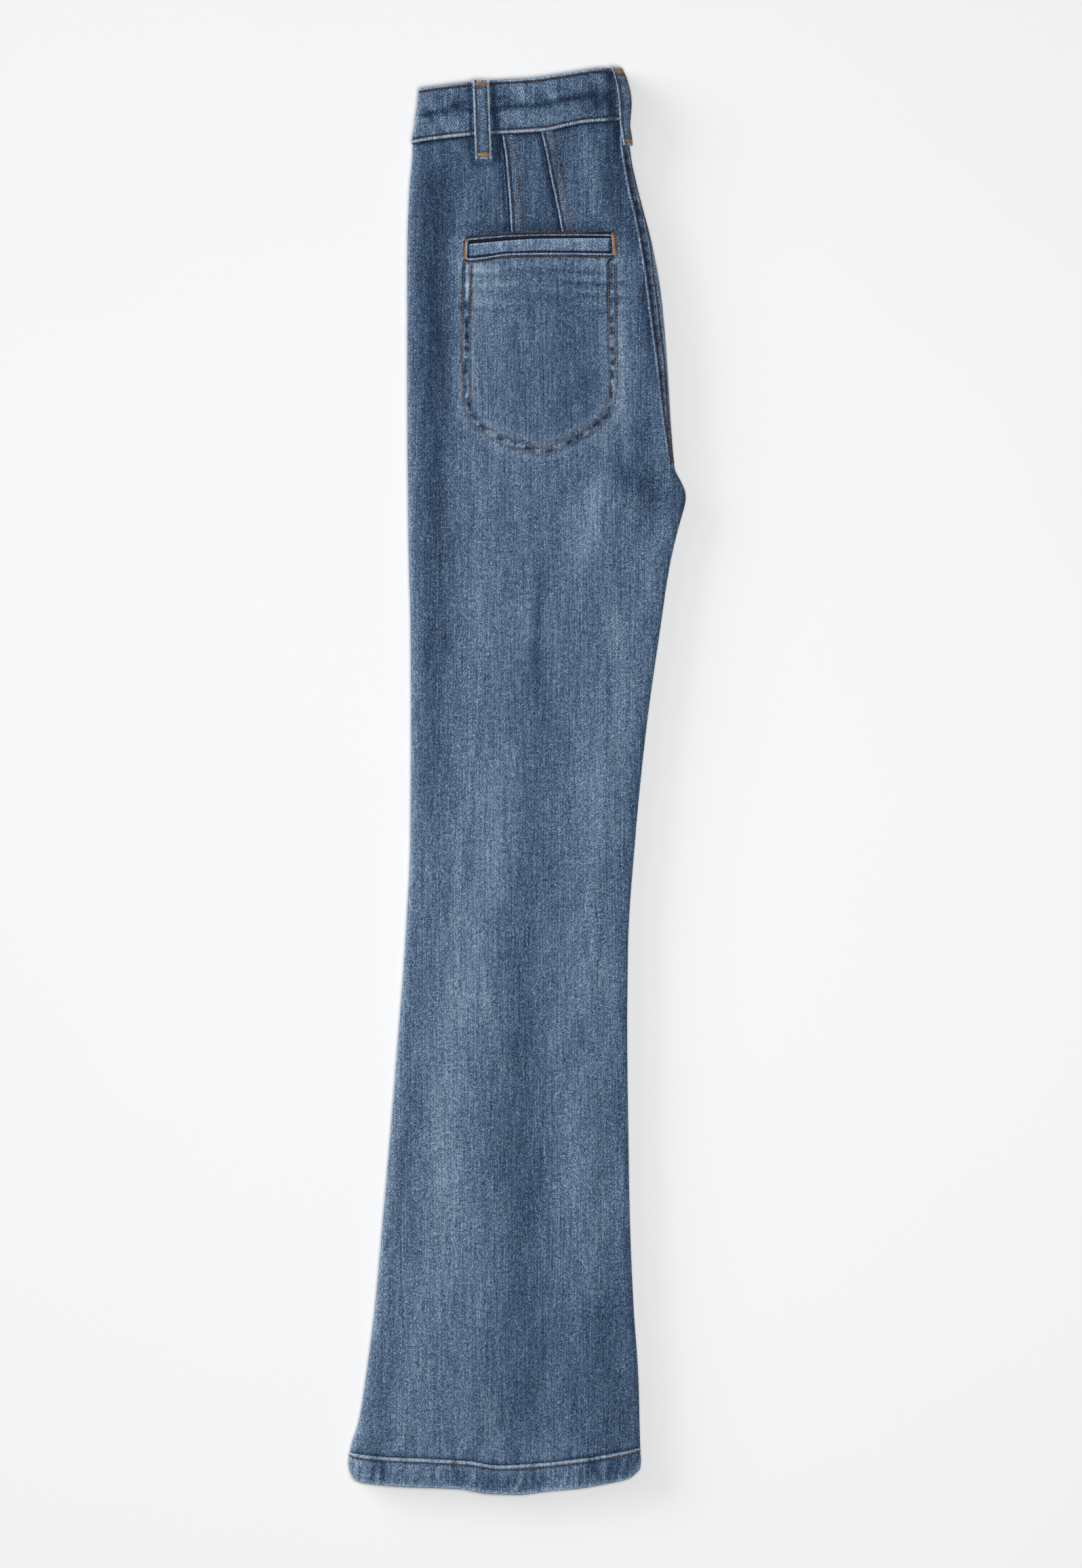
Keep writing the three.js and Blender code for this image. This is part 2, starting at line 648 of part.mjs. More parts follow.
function sideLoop() {
  const loop = SIDE_LOOP;
  const bandLow = along(BAND_BOTTOM, "u", "y", 0.32);
  const line = (f, extra) => {
    const x = mix(loop.topX, loop.lowX, f);
    const y = mix(loop.topY, loop.lowY, f);
    const panel = topHeight(x, Math.min(y, bandLow - 2));
    const base = mix(panel, BAND_STACK, smooth(bandLow - 13, bandLow - 1, y));
    const z = base + loopLift(f) + extra;
    return [-0.5, 0.5].map((side) => new THREE.Vector3(x + side * loop.width, y, z));
  };
  const steps = range(12);
  return wall(steps.map((f) => line(f, LOOP_CLOTH)), steps.map((f) => line(f, 0)));
}

function centreLoop() {
  const loop = CENTRE_LOOP;
  const bandLow = along(BAND_BOTTOM, "u", "y", 1);
  const line = (f, extra) => {
    const y = mix(loop.topY, loop.lowY, f);
    const band = bandRow(THREE.MathUtils.clamp((y - bandLow) / (loop.topY - bandLow), 0, 1));
    const body = rowThrough(95, y);
    const onBand = smooth(bandLow - 14, bandLow - 1, y);
    const row = { s: ROW_LAST, left: band.left, folded: 1, y: () => y };
    row.right = mix(body.right + SEAM_RISE, band.right, onBand);
    row.height = mix(body.height + SEAM_RISE, band.height, onBand);
    const off = -(loopLift(f) + extra);
    return range(8).map((g) => onRight(row, mix(loop.fromShare, loop.toShare, g), off));
  };
  const steps = range(10);
  return wall(steps.map((f) => line(f, LOOP_CLOTH)), steps.map((f) => line(f, 0)));
}

// Each hem is a flattened ring of turned-up cloth, open to the leg
function hemRow(share) {
  const y = (u) => mix(along(HEM_EDGE, "u", "y", u), along(HEM_TOP, "u", "y", u), share);
  const left = along(OUTLINE, "y", "left", y(0));
  const right = along(OUTLINE, "y", "right", y(1));
  return { s: ROW_FIRST, left, right, height: LEG_STACK, folded: 0, y };
}

function hemLoop(row, depth, upper) {
  const quarter = row.height / 4;
  const half = quarter - GAP / 4;
  const middle = upper ? row.height - half : half;
  const left = range(6).map((f) => onLeft(row, middle, half, mix(270, 90, f), depth));
  const strip = [0.5, 1].map((f) => row.right - mix(RIGHT_ZONE, EDGE, f));
  const across = [...COLUMNS.map((f) => topX(row, f)), ...strip];
  const swell = (x) => {
    const shift = onTop(row, x, 0).z - row.height;
    return upper ? shift : 0;
  };
  const top = across.slice(1).map((x) => place(row, x, middle + half - depth + swell(x)));
  const right = range(6).slice(1).map((f) => {
    const a = THREE.MathUtils.degToRad(mix(90, -90, f));
    const x = row.right - EDGE + (EDGE - depth) * Math.cos(a);
    return place(row, x, middle + (half - depth) * Math.sin(a));
  });
  const back = across.slice(1, -1).reverse();
  const under = back.map((x) => place(row, x, middle - half + depth));
  return [...left, ...top, ...right, ...under];
}

function hem(upper) {
  const rows = range(4).map(hemRow);
  return wall(rows.map((r) => hemLoop(r, 0, upper)), rows.map((r) => hemLoop(r, HEM_CLOTH, upper)), true);
}

function piece(name, geometry, color) {
  geometry.computeVertexNormals();
  const material = new THREE.MeshStandardMaterial({ color, roughness: 0.92, metalness: 0 });
  const mesh = new THREE.Mesh(geometry, material);
  mesh.name = name;
  return mesh;
}

const jeans = new THREE.Group();
jeans.name = "flared_jeans";
jeans.add(
  piece("left_back_panel", leftBackPanel(), DENIM),
  piece("right_back_panel", rightBackPanel(), DENIM),
  piece("front_panels", frontPanels(), DENIM_DARK),
  piece("pocket_bag", pocketBag(), DENIM_DARK),
  piece("pocket_welt", pocketWelt(), DENIM_WORN),
  piece("waistband_back", waistband("back"), DENIM),
  piece("waistband_front", waistband("front"), DENIM_DARK),
  piece("belt_loop_side", sideLoop(), DENIM_WORN),
  piece("belt_loop_centre", centreLoop(), DENIM_WORN),
  piece("hem_left", hem(true), DENIM_WORN),
  piece("hem_right", hem(false), DENIM_WORN),
);

export default jeans;
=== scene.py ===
"""Looks of flared denim jeans, folded in half along the centre back and laid flat, left back panel up.

Sizes are in millimetres and turn into metres where a mesh is made. +X runs towards the inseam and the
centre back fold, +Y towards the waist and +Z up from the surface that the jeans lie on.
"""

import logging
import math
from dataclasses import dataclass, field
from enum import Enum
from typing import Any, Callable, NamedTuple, Sequence

import bpy
import numpy as np
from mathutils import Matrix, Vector
from mathutils.bvhtree import BVHTree


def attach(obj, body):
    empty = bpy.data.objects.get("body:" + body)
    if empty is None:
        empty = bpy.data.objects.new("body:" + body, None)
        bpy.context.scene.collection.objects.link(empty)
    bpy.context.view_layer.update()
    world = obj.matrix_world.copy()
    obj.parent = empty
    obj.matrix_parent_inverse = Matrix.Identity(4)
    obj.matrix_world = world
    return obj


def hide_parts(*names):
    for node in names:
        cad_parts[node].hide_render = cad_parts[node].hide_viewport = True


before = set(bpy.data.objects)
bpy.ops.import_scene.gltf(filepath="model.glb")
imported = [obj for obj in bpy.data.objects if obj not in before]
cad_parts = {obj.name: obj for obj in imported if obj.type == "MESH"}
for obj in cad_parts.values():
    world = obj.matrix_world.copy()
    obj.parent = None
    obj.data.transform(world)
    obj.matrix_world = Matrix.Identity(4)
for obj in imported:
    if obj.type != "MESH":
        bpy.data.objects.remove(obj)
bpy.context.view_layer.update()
MM = 0.001
log = logging.getLogger("jeans")

Array = np.ndarray
Pair = tuple[float, float]
Triple = tuple[float, float, float]

# Over what length past its ends a stroke of each table dies out
FOLD_FADE = 45.0
WASH_AND_SHADE_FADE = 26.0
PULL_FADE = 6.0
CONTACT_SHADOW_FADE = 2.5
RIBBON_FADE = 30.0
TONE_LIMIT = 1.4
# The darkest tone is painted shade, in the grooves and gaps of sewn edges
DEEPEST_SHADE_TONE = -2.4  # the darkest tone, in the grooves of sewn edges
BAG_ROWS_APART = 6.0
UPPER_SHADE = (440, 535)  # heights over which the cloth gets darker towards the waist


class Profile(NamedTuple):
    """A place on a cross-section: distance across, height over the cloth, and how worn or dark it is."""

    at: float
    rise: float
    tone: float


class Stroke(NamedTuple):
    """A soft stroke between two places, used for creases (strength in mm) and for the wash (in tone)."""

    x0: float
    y0: float
    x1: float
    y1: float
    width: float
    strength: float


class Seam(NamedTuple):
    """How a row is sewn: how far it stands off, hole to hole, the share covered and the thread's radius."""

    lift: float
    length: float
    share: float
    radius: float


class Lamp(NamedTuple):
    """A soft light: its place and size in metres and its power in watts."""

    name: str
    place: Triple
    size: Pair
    power: float


# The outline: height, left edge and right edge
OUTLINE = (
    (-584, -130, 97), (-576, -138.5, 101), (-566, -140.2, 102.2), (-550, -137.5, 101.6),
    (-533, -132, 101.2), (-499, -126.3, 100.4), (-432, -117.8, 96), (-364, -111.7, 93.2),
    (-297, -105.8, 92), (-207, -98.6, 91), (-139, -93.4, 91.6), (-49, -89, 97.5), (41, -88.4, 106.5),
    (131, -88.8, 119), (176, -90, 125.7), (207, -90.6, 132.6), (224, -90.9, 137.4), (237, -91, 140.3),
    (247, -91.1, 136.6), (260, -91.2, 130.4), (285, -91.3, 128), (349, -91.5, 124), (401, -91.5, 119.5),
    (446, -91.3, 111.6), (491, -89.7, 99.8), (517, -87.3, 94.2), (549, -86, 90.6),
)
# Lines that run across: share of the way from left to right, and height
HEM_EDGE = (
    (0, -573), (0.017, -580), (0.05, -582.8), (0.2, -586), (0.38, -587.6), (0.48, -591.6), (0.58, -592.4),
    (0.68, -589.6), (0.79, -587.2), (0.89, -583), (0.96, -579), (1, -571.4),
)
HEM_TOP = (
    (0, -557), (0.1, -560), (0.3, -562.2), (0.41, -563.6), (0.51, -567.2), (0.65, -565.6), (0.78, -562.2),
    (0.89, -558.2), (1, -552.8),
)
BAND_BOTTOM = (
    (0, 529), (0.08, 531.6), (0.29, 535.8), (0.6, 539), (0.82, 546.6), (1, 548.4),
)
BAND_TOP = (
    (0, 574.8), (0.14, 578), (0.3, 581), (0.56, 583.6), (0.75, 588), (0.92, 591.8), (1, 591.6),
)
# The waistband's two ends: share of the way up it, and place across
BAND_LEFT = ((0, -88.2), (0.35, -85.4), (0.75, -83.2), (1, -82))
BAND_RIGHT = ((0, 91.2), (0.35, 90.8), (0.75, 88.6), (1, 85))
# How far the panel's edge lies in from the fold's tip along the seat, by height
SEAM_INSET = (
    (237, 0), (262, 0), (285, 0.4), (316, 1), (349, 1.6), (382, 2.8),
    (414, 3.3), (446, 1), (491, 0.5), (550, 0.5),
)

# The largest soft folds, as in the solids
FOLDS = tuple(Stroke(*row) for row in (
    (-12, 20, -34, -540, 27, 2), (72, 0, 64, -500, 19, 1.6), (-28, 250, -22, 70, 24, 1.2),
    (70, 240, 56, 60, 17, 1.2), (-62, 500, -60, 90, 14, -1.2), (18, 440, 20, 330, 60, 1.4),
))
# Smaller creases of the left back panel, in no even rhythm
CREASES = tuple(Stroke(*row) for row in (
    (112, 268, 74, 214, 5, 0.9), (122, 252, 96, 196, 4, -0.8), (104, 290, 52, 246, 6, -0.6),
    (126, 226, 108, 150, 5, 0.6), (88, 226, 60, 168, 7, 0.5), (-82, 300, -70, 214, 5, 0.5),
    (-74, 262, -60, 150, 6, -0.5), (-84, 130, -72, 10, 5, 0.5), (-50, 182, -46, 60, 7, -0.5),
    (19, 166, 19, 90, 6, -0.5), (2, 232, 6, 128, 8, 0.5), (46, 130, 42, 20, 7, -0.5),
    (92, 120, 84, 20, 6, 0.5), (-70, -20, -78, -150, 7, 0.5), (-40, -40, -44, -190, 8, -0.5),
    (24, -10, 22, -160, 8, 0.5), (56, -60, 50, -210, 6, -0.4), (80, -90, 78, -240, 5, 0.4),
    (4, -122, 2, -330, 9, -0.55), (-62, -200, -74, -390, 9, 0.6), (-86, -260, -104, -430, 6, -0.5),
    (34, -240, 30, -420, 8, 0.5), (6, -320, 0, -530, 10, -0.6), (-28, -420, -40, -548, 8, 0.6),
    (-80, -430, -96, -552, 8, 0.7), (-104, -460, -120, -550, 6, -0.5), (52, -400, 56, -548, 9, 0.6),
    (78, -390, 84, -540, 8, -0.8), (92, -420, 95, -545, 4, 0.4), (-64, 520, -62, 470, 6, 0.5),
    (60, 530, 64, 476, 7, 0.5), (82, 500, 90, 430, 6, -0.6), (92, 420, 104, 330, 6, -0.4),
))
# Light and dark strokes of the dye's wash, mixed with painted light and shade of the folds and painted
# shadows round the pocket frame and the centre belt loop
WASH_AND_SHADE = tuple(Stroke(*row) for row in (
    # Dark band inside the outseam: unfaded dye, with painted shade where the cloth dips beside the edge
    (-68, 490, -68, 330, 13, -0.62), (-67, 285, -68, 120, 14, -0.42), (-68, 75, -72, -20, 13, -0.3),
    # Round the pocket; the two long dark strokes just over the pocket frame and the short one beside the
    # centre belt loop are painted shadow
    (-38, 436, -32, 412, 9, 0.26), (-24, 423, -4, 418, 8, 0.14), (-24, 400, -20, 290, 11, 0.22),
    (-44, 470, -28, 505, 6, 0.15), (78, 462, 60, 505, 7, 0.15), (86, 400, 88, 290, 8, 0.25),
    (40, 405, 48, 330, 20, -0.16), (3, 380, 4, 320, 7, -0.1), (-24, 459, 56, 460, 5, -0.6),
    (-20, 453, 56, 454, 3, -0.6), (2, 520, 8, 480, 14, -0.12), (31, 526, 34, 503, 6, -0.3),
    (74, 522, 82, 470, 9, -0.22), (84, 540, 86, 526, 6, -0.5), (92, 515, 104, 450, 9, -0.2),
    # Along the seat seam and at the crotch
    (102, 460, 114, 350, 7, -0.3), (107, 396, 110, 378, 5, -0.5), (98, 250, 130, 232, 14, -0.36),
    (104, 285, 104, 240, 10, -0.25), (70, 260, 58, 205, 10, 0.24),
    # Light columns down the leg: faded dye, with painted light on the sides of the long folds that face the
    # lamps
    (-27, 245, -27, 70, 14, 0.12), (-29, 20, -32, -180, 20, 0.2), (-58, -170, -56, -390, 16, 0.22),
    (-66, -300, -70, -400, 20, 0.08), (-80, -430, -84, -550, 22, 0.08), (78, 130, 86, 40, 10, 0.2),
    (66, 20, 60, -160, 13, 0.2), (46, -210, 44, -350, 14, 0.14), (-50, -40, -50, -120, 9, 0.14),
    # Dark columns down the leg: unfaded dye, with painted shade on the sides of the long folds that face away
    (18, 158, 16, 92, 4, -0.34), (16, 90, 14, -60, 13, -0.15), (10, -90, 8, -180, 15, -0.16),
    (7, -225, 6, -520, 20, -0.3), (64, -450, 66, -545, 26, -0.38),
))
# Painted shadows where things lie close over the panel: beside the belt loops, under the side loop's end, in
# the creases beside the darts and beside the centre loop; the three last are small dark marks just outside
# the pocket bag's rows
CONTACT_SHADOWS = tuple(Stroke(*row) for row in (
    (-18.5, 533, -17.5, 516, 3.6, -0.75), (-40, 530, -37.8, 516, 2.6, -0.5),
    (-36, 511.5, -21, 511.5, 2, -0.5), (-15.2, 534, -9.4, 458, 1.6, -0.7), (17, 537, 34, 458, 1.8, -0.7),
    (83, 546, 85.5, 524, 3, -1.1), (-47.8, 394, -47, 392, 2.4, -0.7), (84, 415, 87, 414, 2, -0.6),
    (83.6, 401, 83.4, 396, 2, -0.6),
))
# Dark blots between the two rows that hold the pocket bag
BLOTS = tuple(Stroke(*row) for row in (
    (-42.5, 383, -42.5, 377, 1.5, -1.5), (-42.2, 371, -42.3, 365, 1.5, -1.5),
    (-42.3, 360, -42.4, 358, 1.4, -1.3), (-42.8, 349, -42.9, 347, 1.4, -1),
    (-43.1, 344, -43.1, 339, 1.6, -1.5), (-43.1, 331, -42.8, 324, 1.4, -0.9),
    (-41.8, 317, -39.6, 309, 1.5, -1.2), (-38, 303.5, -36, 301.5, 1.5, -1.2),
    (-31, 294.8, -27, 292, 1.5, -1.1), (-17, 285.4, -14, 284.2, 1.5, -1.3),
    (-4, 281.2, -2, 280.4, 1.4, -0.7), (7, 276.8, 12, 275.6, 1.5, -1.3), (24.5, 274, 28, 275, 1.5, -1.2),
    (41, 280.6, 44, 282.2, 1.6, -1.6), (49, 285.4, 53, 287.6, 1.6, -1.6), (59, 291.7, 60, 292.4, 1.4, -0.8),
    (64.5, 295.4, 67.5, 298, 1.6, -1.5), (71, 300.8, 73.8, 303.8, 1.5, -1.4),
    (75.3, 308, 76.2, 310.5, 1.5, -1), (77.6, 318, 77.6, 325, 1.4, -1.1),
    (78.7, 335.5, 78.7, 340, 1.5, -1.3), (79.2, 346, 79.2, 348, 1.5, -1.4),
    (78.8, 356, 78.7, 358.5, 1.5, -1.3), (78.7, 371, 78.6, 377, 1.5, -1.1),
    (78.2, 382, 78.1, 384, 1.5, -1.5), (78, 392, 78, 403, 1.5, -1), (78, 409, 78, 428, 1.5, -0.9),
    (-42.6, 392, -42.6, 397, 1.5, -0.8),
))
# Fine creases across the pocket bag, where it pulls below the pocket
PULLS = tuple(Stroke(*row) for row in (
    (-44, 423, -16, 424, 1.1, 0.5), (-40, 420, 0, 419, 1.2, -0.36), (-12, 424, 22, 422, 1, -0.36),
    (-40, 411, -6, 412, 1.4, 0.4), (-48, 406, -22, 405, 1.2, -0.32), (-36, 398, -4, 397, 1.5, 0.35),
    (-40, 391, -14, 390, 1.2, -0.3), (30, 424, 62, 422, 1.1, -0.5), (38, 418, 84, 416, 1.2, 0.5),
    (44, 413, 90, 411, 1.2, -0.55), (22, 409, 60, 406, 1.3, 0.35), (56, 403, 92, 400, 1.3, -0.45),
    (48, 396, 80, 395, 1.4, 0.3), (60, 389, 88, 387, 1.2, -0.3), (4, 400, 36, 399, 1.5, -0.22),
))

# Sewn lines on the left back panel, from the waist seam down or from left to right
DARTS = (
    ((-13, 535.5), (-10, 517.5), (-8.5, 500), (-7, 482), (-5.5, 455.8)),
    ((19.5, 538.5), (23.5, 521.5), (27, 503), (31.5, 482), (36.6, 455.9)),
)
BAG_ROW = (
    (-44.6, 431.5), (-45.5, 389), (-46, 351.5), (-45.5, 329), (-44.5, 314), (-41.5, 303), (-35, 294),
    (-24, 286), (-9, 278.5), (6, 274.5), (15, 271.5), (21, 270), (28.5, 272.5), (43.5, 279), (58.5, 286.5),
    (72, 297), (79, 309.5), (81.5, 320), (82.5, 331), (82, 359), (81.5, 389), (81, 430),
)
WINDOW = (
    (-41.4, 434.4), (-40.6, 448.2), (-24, 449.6), (-10.5, 450.8), (20.5, 451.8), (48, 451.9), (77.2, 451.6),
    (78.2, 438.4), (48.5, 439.0), (20.5, 439.0), (-2, 438.7), (-13, 438.0), (-24.5, 436.0), (-34, 434.7),
)
WELT_TOP = ((-40.5, 445.8), (-20, 447.6), (-1.5, 449.2), (20.5, 450.2), (48.5, 450.5), (77.6, 450.7))
WELT_BOTTOM = ((-41.4, 434.4), (-24.5, 436.1), (-13, 438.1), (20.5, 439.1), (48.5, 439.1), (78, 438.5))
FRAME_ROW = (
    (-44, 431.6), (-34, 431.6), (-20, 433.0), (-10.5, 434.8), (3.5, 435.5), (48.5, 435.8), (65, 435.1),
    (80.5, 434.6),
)
FRAME_TOP_ROW = (
    (-42, 450.3), (-20, 453.1), (-6, 454.5), (20.5, 455.2), (48.5, 455.0), (61.5, 455.6), (76, 456.1),
    (79.6, 454.6),
)
SEAT_ROW = (
    (87.3, 528), (90, 510), (93, 493), (97.3, 475), (102.5, 448.5), (108, 414), (112, 381.5), (116.5, 348.5),
    (120, 316), (124, 285), (127, 268),
)
# How far the seat seam's second row lies in from the fold's tip, by height
SEAT_INSET = (
    (264.5, 0.7), (285, 1.5), (316, 2.7), (348.5, 3.0), (381.5, 4.3), (414, 4.5), (448.5, 1.9), (479.5, 0.9),
    (530, 0.8),
)


def smooth_step(low: float, high: float, value: Array | float) -> Array:
    """Rises from 0 at low to 1 at high along an S curve.

    Args:
        low: Where the rise starts.
        high: Where it ends.
        value: What is asked about.

    Returns:
        The share, 0 to 1.
    """
    f = np.clip((np.asarray(value, float) - low) / (high - low), 0, 1)
    return f * f * (3 - 2 * f)


def mix(a: Any, b: Any, share: Any) -> Any:
    """Goes from a to b by a share."""
    return a + (b - a) * share


def bell(away: Array, width: float, power: int = 2) -> Array:
    """Falls from 1 where away is 0 to near 0 past the width on both sides."""
    return np.exp(-((away / width) ** power))


class Smooth:
    """A smooth curve through the rows of a table, with no overshoot between them."""

    def __init__(self, rows: Sequence[Sequence[float]]) -> None:
        """Takes the table.

        Args:
            rows: Pairs of a key and its value, keys rising.
        """
        table = np.asarray(rows, float)
        self.keys = table[:, 0]
        self.values = table[:, 1]
        slopes = np.diff(self.values) / np.diff(self.keys)
        product = slopes[:-1] * slopes[1:]
        total = np.where(product > 0, slopes[:-1] + slopes[1:], 1)
        inner = np.where(product > 0, 2 * product / total, 0)
        self.tangents = np.concatenate([slopes[:1], inner, slopes[-1:]])

    def __call__(self, at: Array | float) -> Array:
        """Reads the curve.

        Args:
            at: One or more keys.

        Returns:
            The values there.
        """
        at = np.clip(at, self.keys[0], self.keys[-1])
        i = np.clip(np.searchsorted(self.keys, at, side="right") - 1, 0, len(self.keys) - 2)
        span = self.keys[i + 1] - self.keys[i]
        f = (at - self.keys[i]) / span
        rest = 1 - f
        ends = self.values[i] * rest * rest * (1 + 2 * f) + self.values[i + 1] * f * f * (3 - 2 * f)
        return ends + span * f * rest * (self.tangents[i] * rest - self.tangents[i + 1] * f)


def dying(away: Array, fade: float, reach: float) -> Array:
    """Falls off from 1 with the distance from a sewn edge, and is 0 past its reach."""
    return np.exp(-np.maximum(away, 0) / fade) * (away < reach)


def ripple(x: Array, y: Array, wave: float, seed: int, stretch: float = 1.0) -> Array:
    """Soft irregular waves over the plan, about -1 to 1, the same in every run.

    Args:
        x: Places across.
        y: Places along.
        wave: Usual wave length, in mm.
        seed: Picks one of many patterns.
        stretch: How much longer the waves are along the leg than across it.

    Returns:
        The height of the waves.
    """
    draw = np.random.default_rng(seed)
    total = np.zeros(np.broadcast(x, y).shape)
    count = 14
    for _ in range(count):
        turn, size, phase = draw.uniform(0, math.pi), draw.uniform(0.6, 1.6), draw.uniform(0, 2 * math.pi)
        k = 2 * math.pi / (wave * size)
        total += np.cos(k * (x * math.cos(turn) + y * math.sin(turn) / stretch) + phase)
    return total / math.sqrt(count)


class Waves(NamedTuple):
    """A set of soft waves: their size, and then what ripple is told."""

    size: float
    length: float
    seed: int
    stretch: float


def waves(table: Sequence[Waves], x: Array, y: Array) -> Array:
    """Adds up sets of waves over places on the plan."""
    return sum(w.size * ripple(x, y, w.length, w.seed, w.stretch) for w in table)


def spots(run: Array, spacing: float, width: float, seed: int) -> Array:
    """Soft spots at uneven places along a line, 0 to 1.

    Args:
        run: Distances along the line.
        spacing: Usual distance between spots.
        width: Half width of a spot.
        seed: Picks one of many patterns.

    Returns:
        How much of a spot each place has.
    """
    draw = np.random.default_rng(seed)
    total = np.zeros(np.shape(run))
    place, last = float(np.min(run)), float(np.max(run))
    while place < last:
        place += spacing * draw.uniform(0.55, 1.5)
        size = width * draw.uniform(0.7, 1.5)
        total += draw.uniform(0.45, 1.0) * bell(run - place, size)
    return np.clip(total, 0, 1)


def strokes(table: Sequence[Stroke], x: Array, y: Array, fade: float = 22.0) -> Array:
    """Adds up soft strokes over places on the plan.

    Args:
        table: The strokes.
        x: Places across.
        y: Places along.
        fade: Length over which a stroke dies out past its ends.

    Returns:
        The sum at each place.
    """
    total = np.zeros(np.broadcast(x, y).shape)
    for stroke in table:
        run = math.hypot(stroke.x1 - stroke.x0, stroke.y1 - stroke.y0)
        cos, sin = (stroke.x1 - stroke.x0) / run, (stroke.y1 - stroke.y0) / run
        along = (x - stroke.x0) * cos + (y - stroke.y0) * sin
        across = (x - stroke.x0) * sin - (y - stroke.y0) * cos
        past = np.maximum(0, np.maximum(-along, along - run)) / fade
        total += stroke.strength * np.exp(-((across / stroke.width) ** 2) - past**2)
    return total


def distances(points: Array) -> Array:
    """Distance along a chain of points, from its first to each."""
    return np.concatenate([[0], np.cumsum(np.linalg.norm(np.diff(points, axis=0), axis=1))])


class Line:
    """A smooth line on the plan, for ridges, rows of stitching and what lies beside them."""

    def __init__(self, points: Sequence[Sequence[float]], step: float = 1.0, closed: bool = False) -> None:
        """Lays the line through its points.

        Args:
            points: Pairs of x and y.
            step: Distance between the places that it is held as.
            closed: Whether it returns to its first point, with sharp corners kept.
        """
        given = np.asarray(points, float)
        if closed:
            given = np.vstack([given, given[:1]])
        run = distances(given)
        at = np.linspace(0, run[-1], max(2, round(run[-1] / step)) + 1)
        if closed:
            self.points = np.column_stack([np.interp(at, run, given[:, k]) for k in (0, 1)])
        else:
            self.points = np.column_stack([Smooth(np.column_stack([run, given[:, k]]))(at) for k in (0, 1)])
        self.closed = closed

    @property
    def sides(self) -> Array:
        """Unit vectors to the right of travel at each place."""
        ahead = np.gradient(self.points, axis=0)
        if self.closed:
            ahead[0] = ahead[-1] = self.points[1] - self.points[-2]
        ahead /= np.linalg.norm(ahead, axis=1, keepdims=True)
        return np.column_stack([ahead[:, 1], -ahead[:, 0]])

    @property
    def run(self) -> Array:
        """Distance along the line at each place."""
        return distances(self.points)

    def at_shares(self, share: Array) -> Array:
        """Places at shares of the way along it."""
        whole = np.linspace(0, 1, len(self.points))
        return np.column_stack([np.interp(share, whole, self.points[:, k]) for k in (0, 1)])

    def shifted(self, right: float) -> "Line":
        """A copy that lies to the right of this one by a distance.

        Args:
            right: The distance, in mm.

        Returns:
            The copy.
        """
        other = Line.__new__(Line)
        other.closed = self.closed
        other.points = self.points + self.sides * right
        return other

    def measure(self, x: Array, y: Array, reach: float) -> tuple[Array, Array]:
        """How far places lie from the line.

        Args:
            x: Places across.
            y: Places along.
            reach: Distance past which the answer no longer matters.

        Returns:
            The signed distance, to the right of travel positive, and the run at the nearest place.
        """
        away = np.full(x.shape, 1e3)
        where = np.zeros(x.shape)
        low, high = self.points.min(0) - reach, self.points.max(0) + reach
        near = np.nonzero((x > low[0]) & (x < high[0]) & (y > low[1]) & (y < high[1]))
        if not len(near[0]):
            return away, where
        px, py = x[near], y[near]
        best = np.full(px.shape, 1e6)
        side, run = np.zeros(px.shape), np.zeros(px.shape)
        runs = self.run
        for i, (a, b) in enumerate(zip(self.points[:-1:2], self.points[2::2])):
            d = b - a
            t = np.clip(((px - a[0]) * d[0] + (py - a[1]) * d[1]) / (d @ d), 0, 1)
            dx, dy = px - a[0] - t * d[0], py - a[1] - t * d[1]
            gap = np.hypot(dx, dy)
            closer = gap < best
            best = np.where(closer, gap, best)
            side = np.where(closer, np.sign(d[1] * dx - d[0] * dy), side)
            run = np.where(closer, mix(runs[2 * i], runs[min(2 * i + 2, len(runs) - 1)], t), run)
        away[near] = best * side
        where[near] = run
        return away, where


@dataclass
class Rows:
    """Sections across the folded stack, one a row, from its left edge to its right."""

    left: Array
    right: Array
    height: Array
    folded: Array
    line: Callable[[Array], Array]

    def place(self, x: Array, z: Array) -> Array:
        """Puts places given by x and z on the sections, which says their y."""
        u = np.clip((x - self.left) / (self.right - self.left), 0, 1)
        return np.stack(np.broadcast_arrays(x, self.line(u), z), axis=-1)

    def edge_wear_and_shade(self, x: Array, left: tuple[Any, float], right: tuple[Any, float]) -> Array:
        """Tone at the two edges, each given by its strength and how far it reaches in: pale where rubbed,
        painted shade where the strength is below 0.
        """
        return left[0] * bell(x - self.left, left[1]) + right[0] * bell(self.right - x, right[1])


def outline(left_y: Array, right_y: Array) -> tuple[Array, Array]:
    """The outline's left edge at some heights, and its right edge at others."""
    left, right = (Smooth([(row[0], row[k]) for row in OUTLINE]) for k in (1, 2))
    return left(left_y), right(right_y)


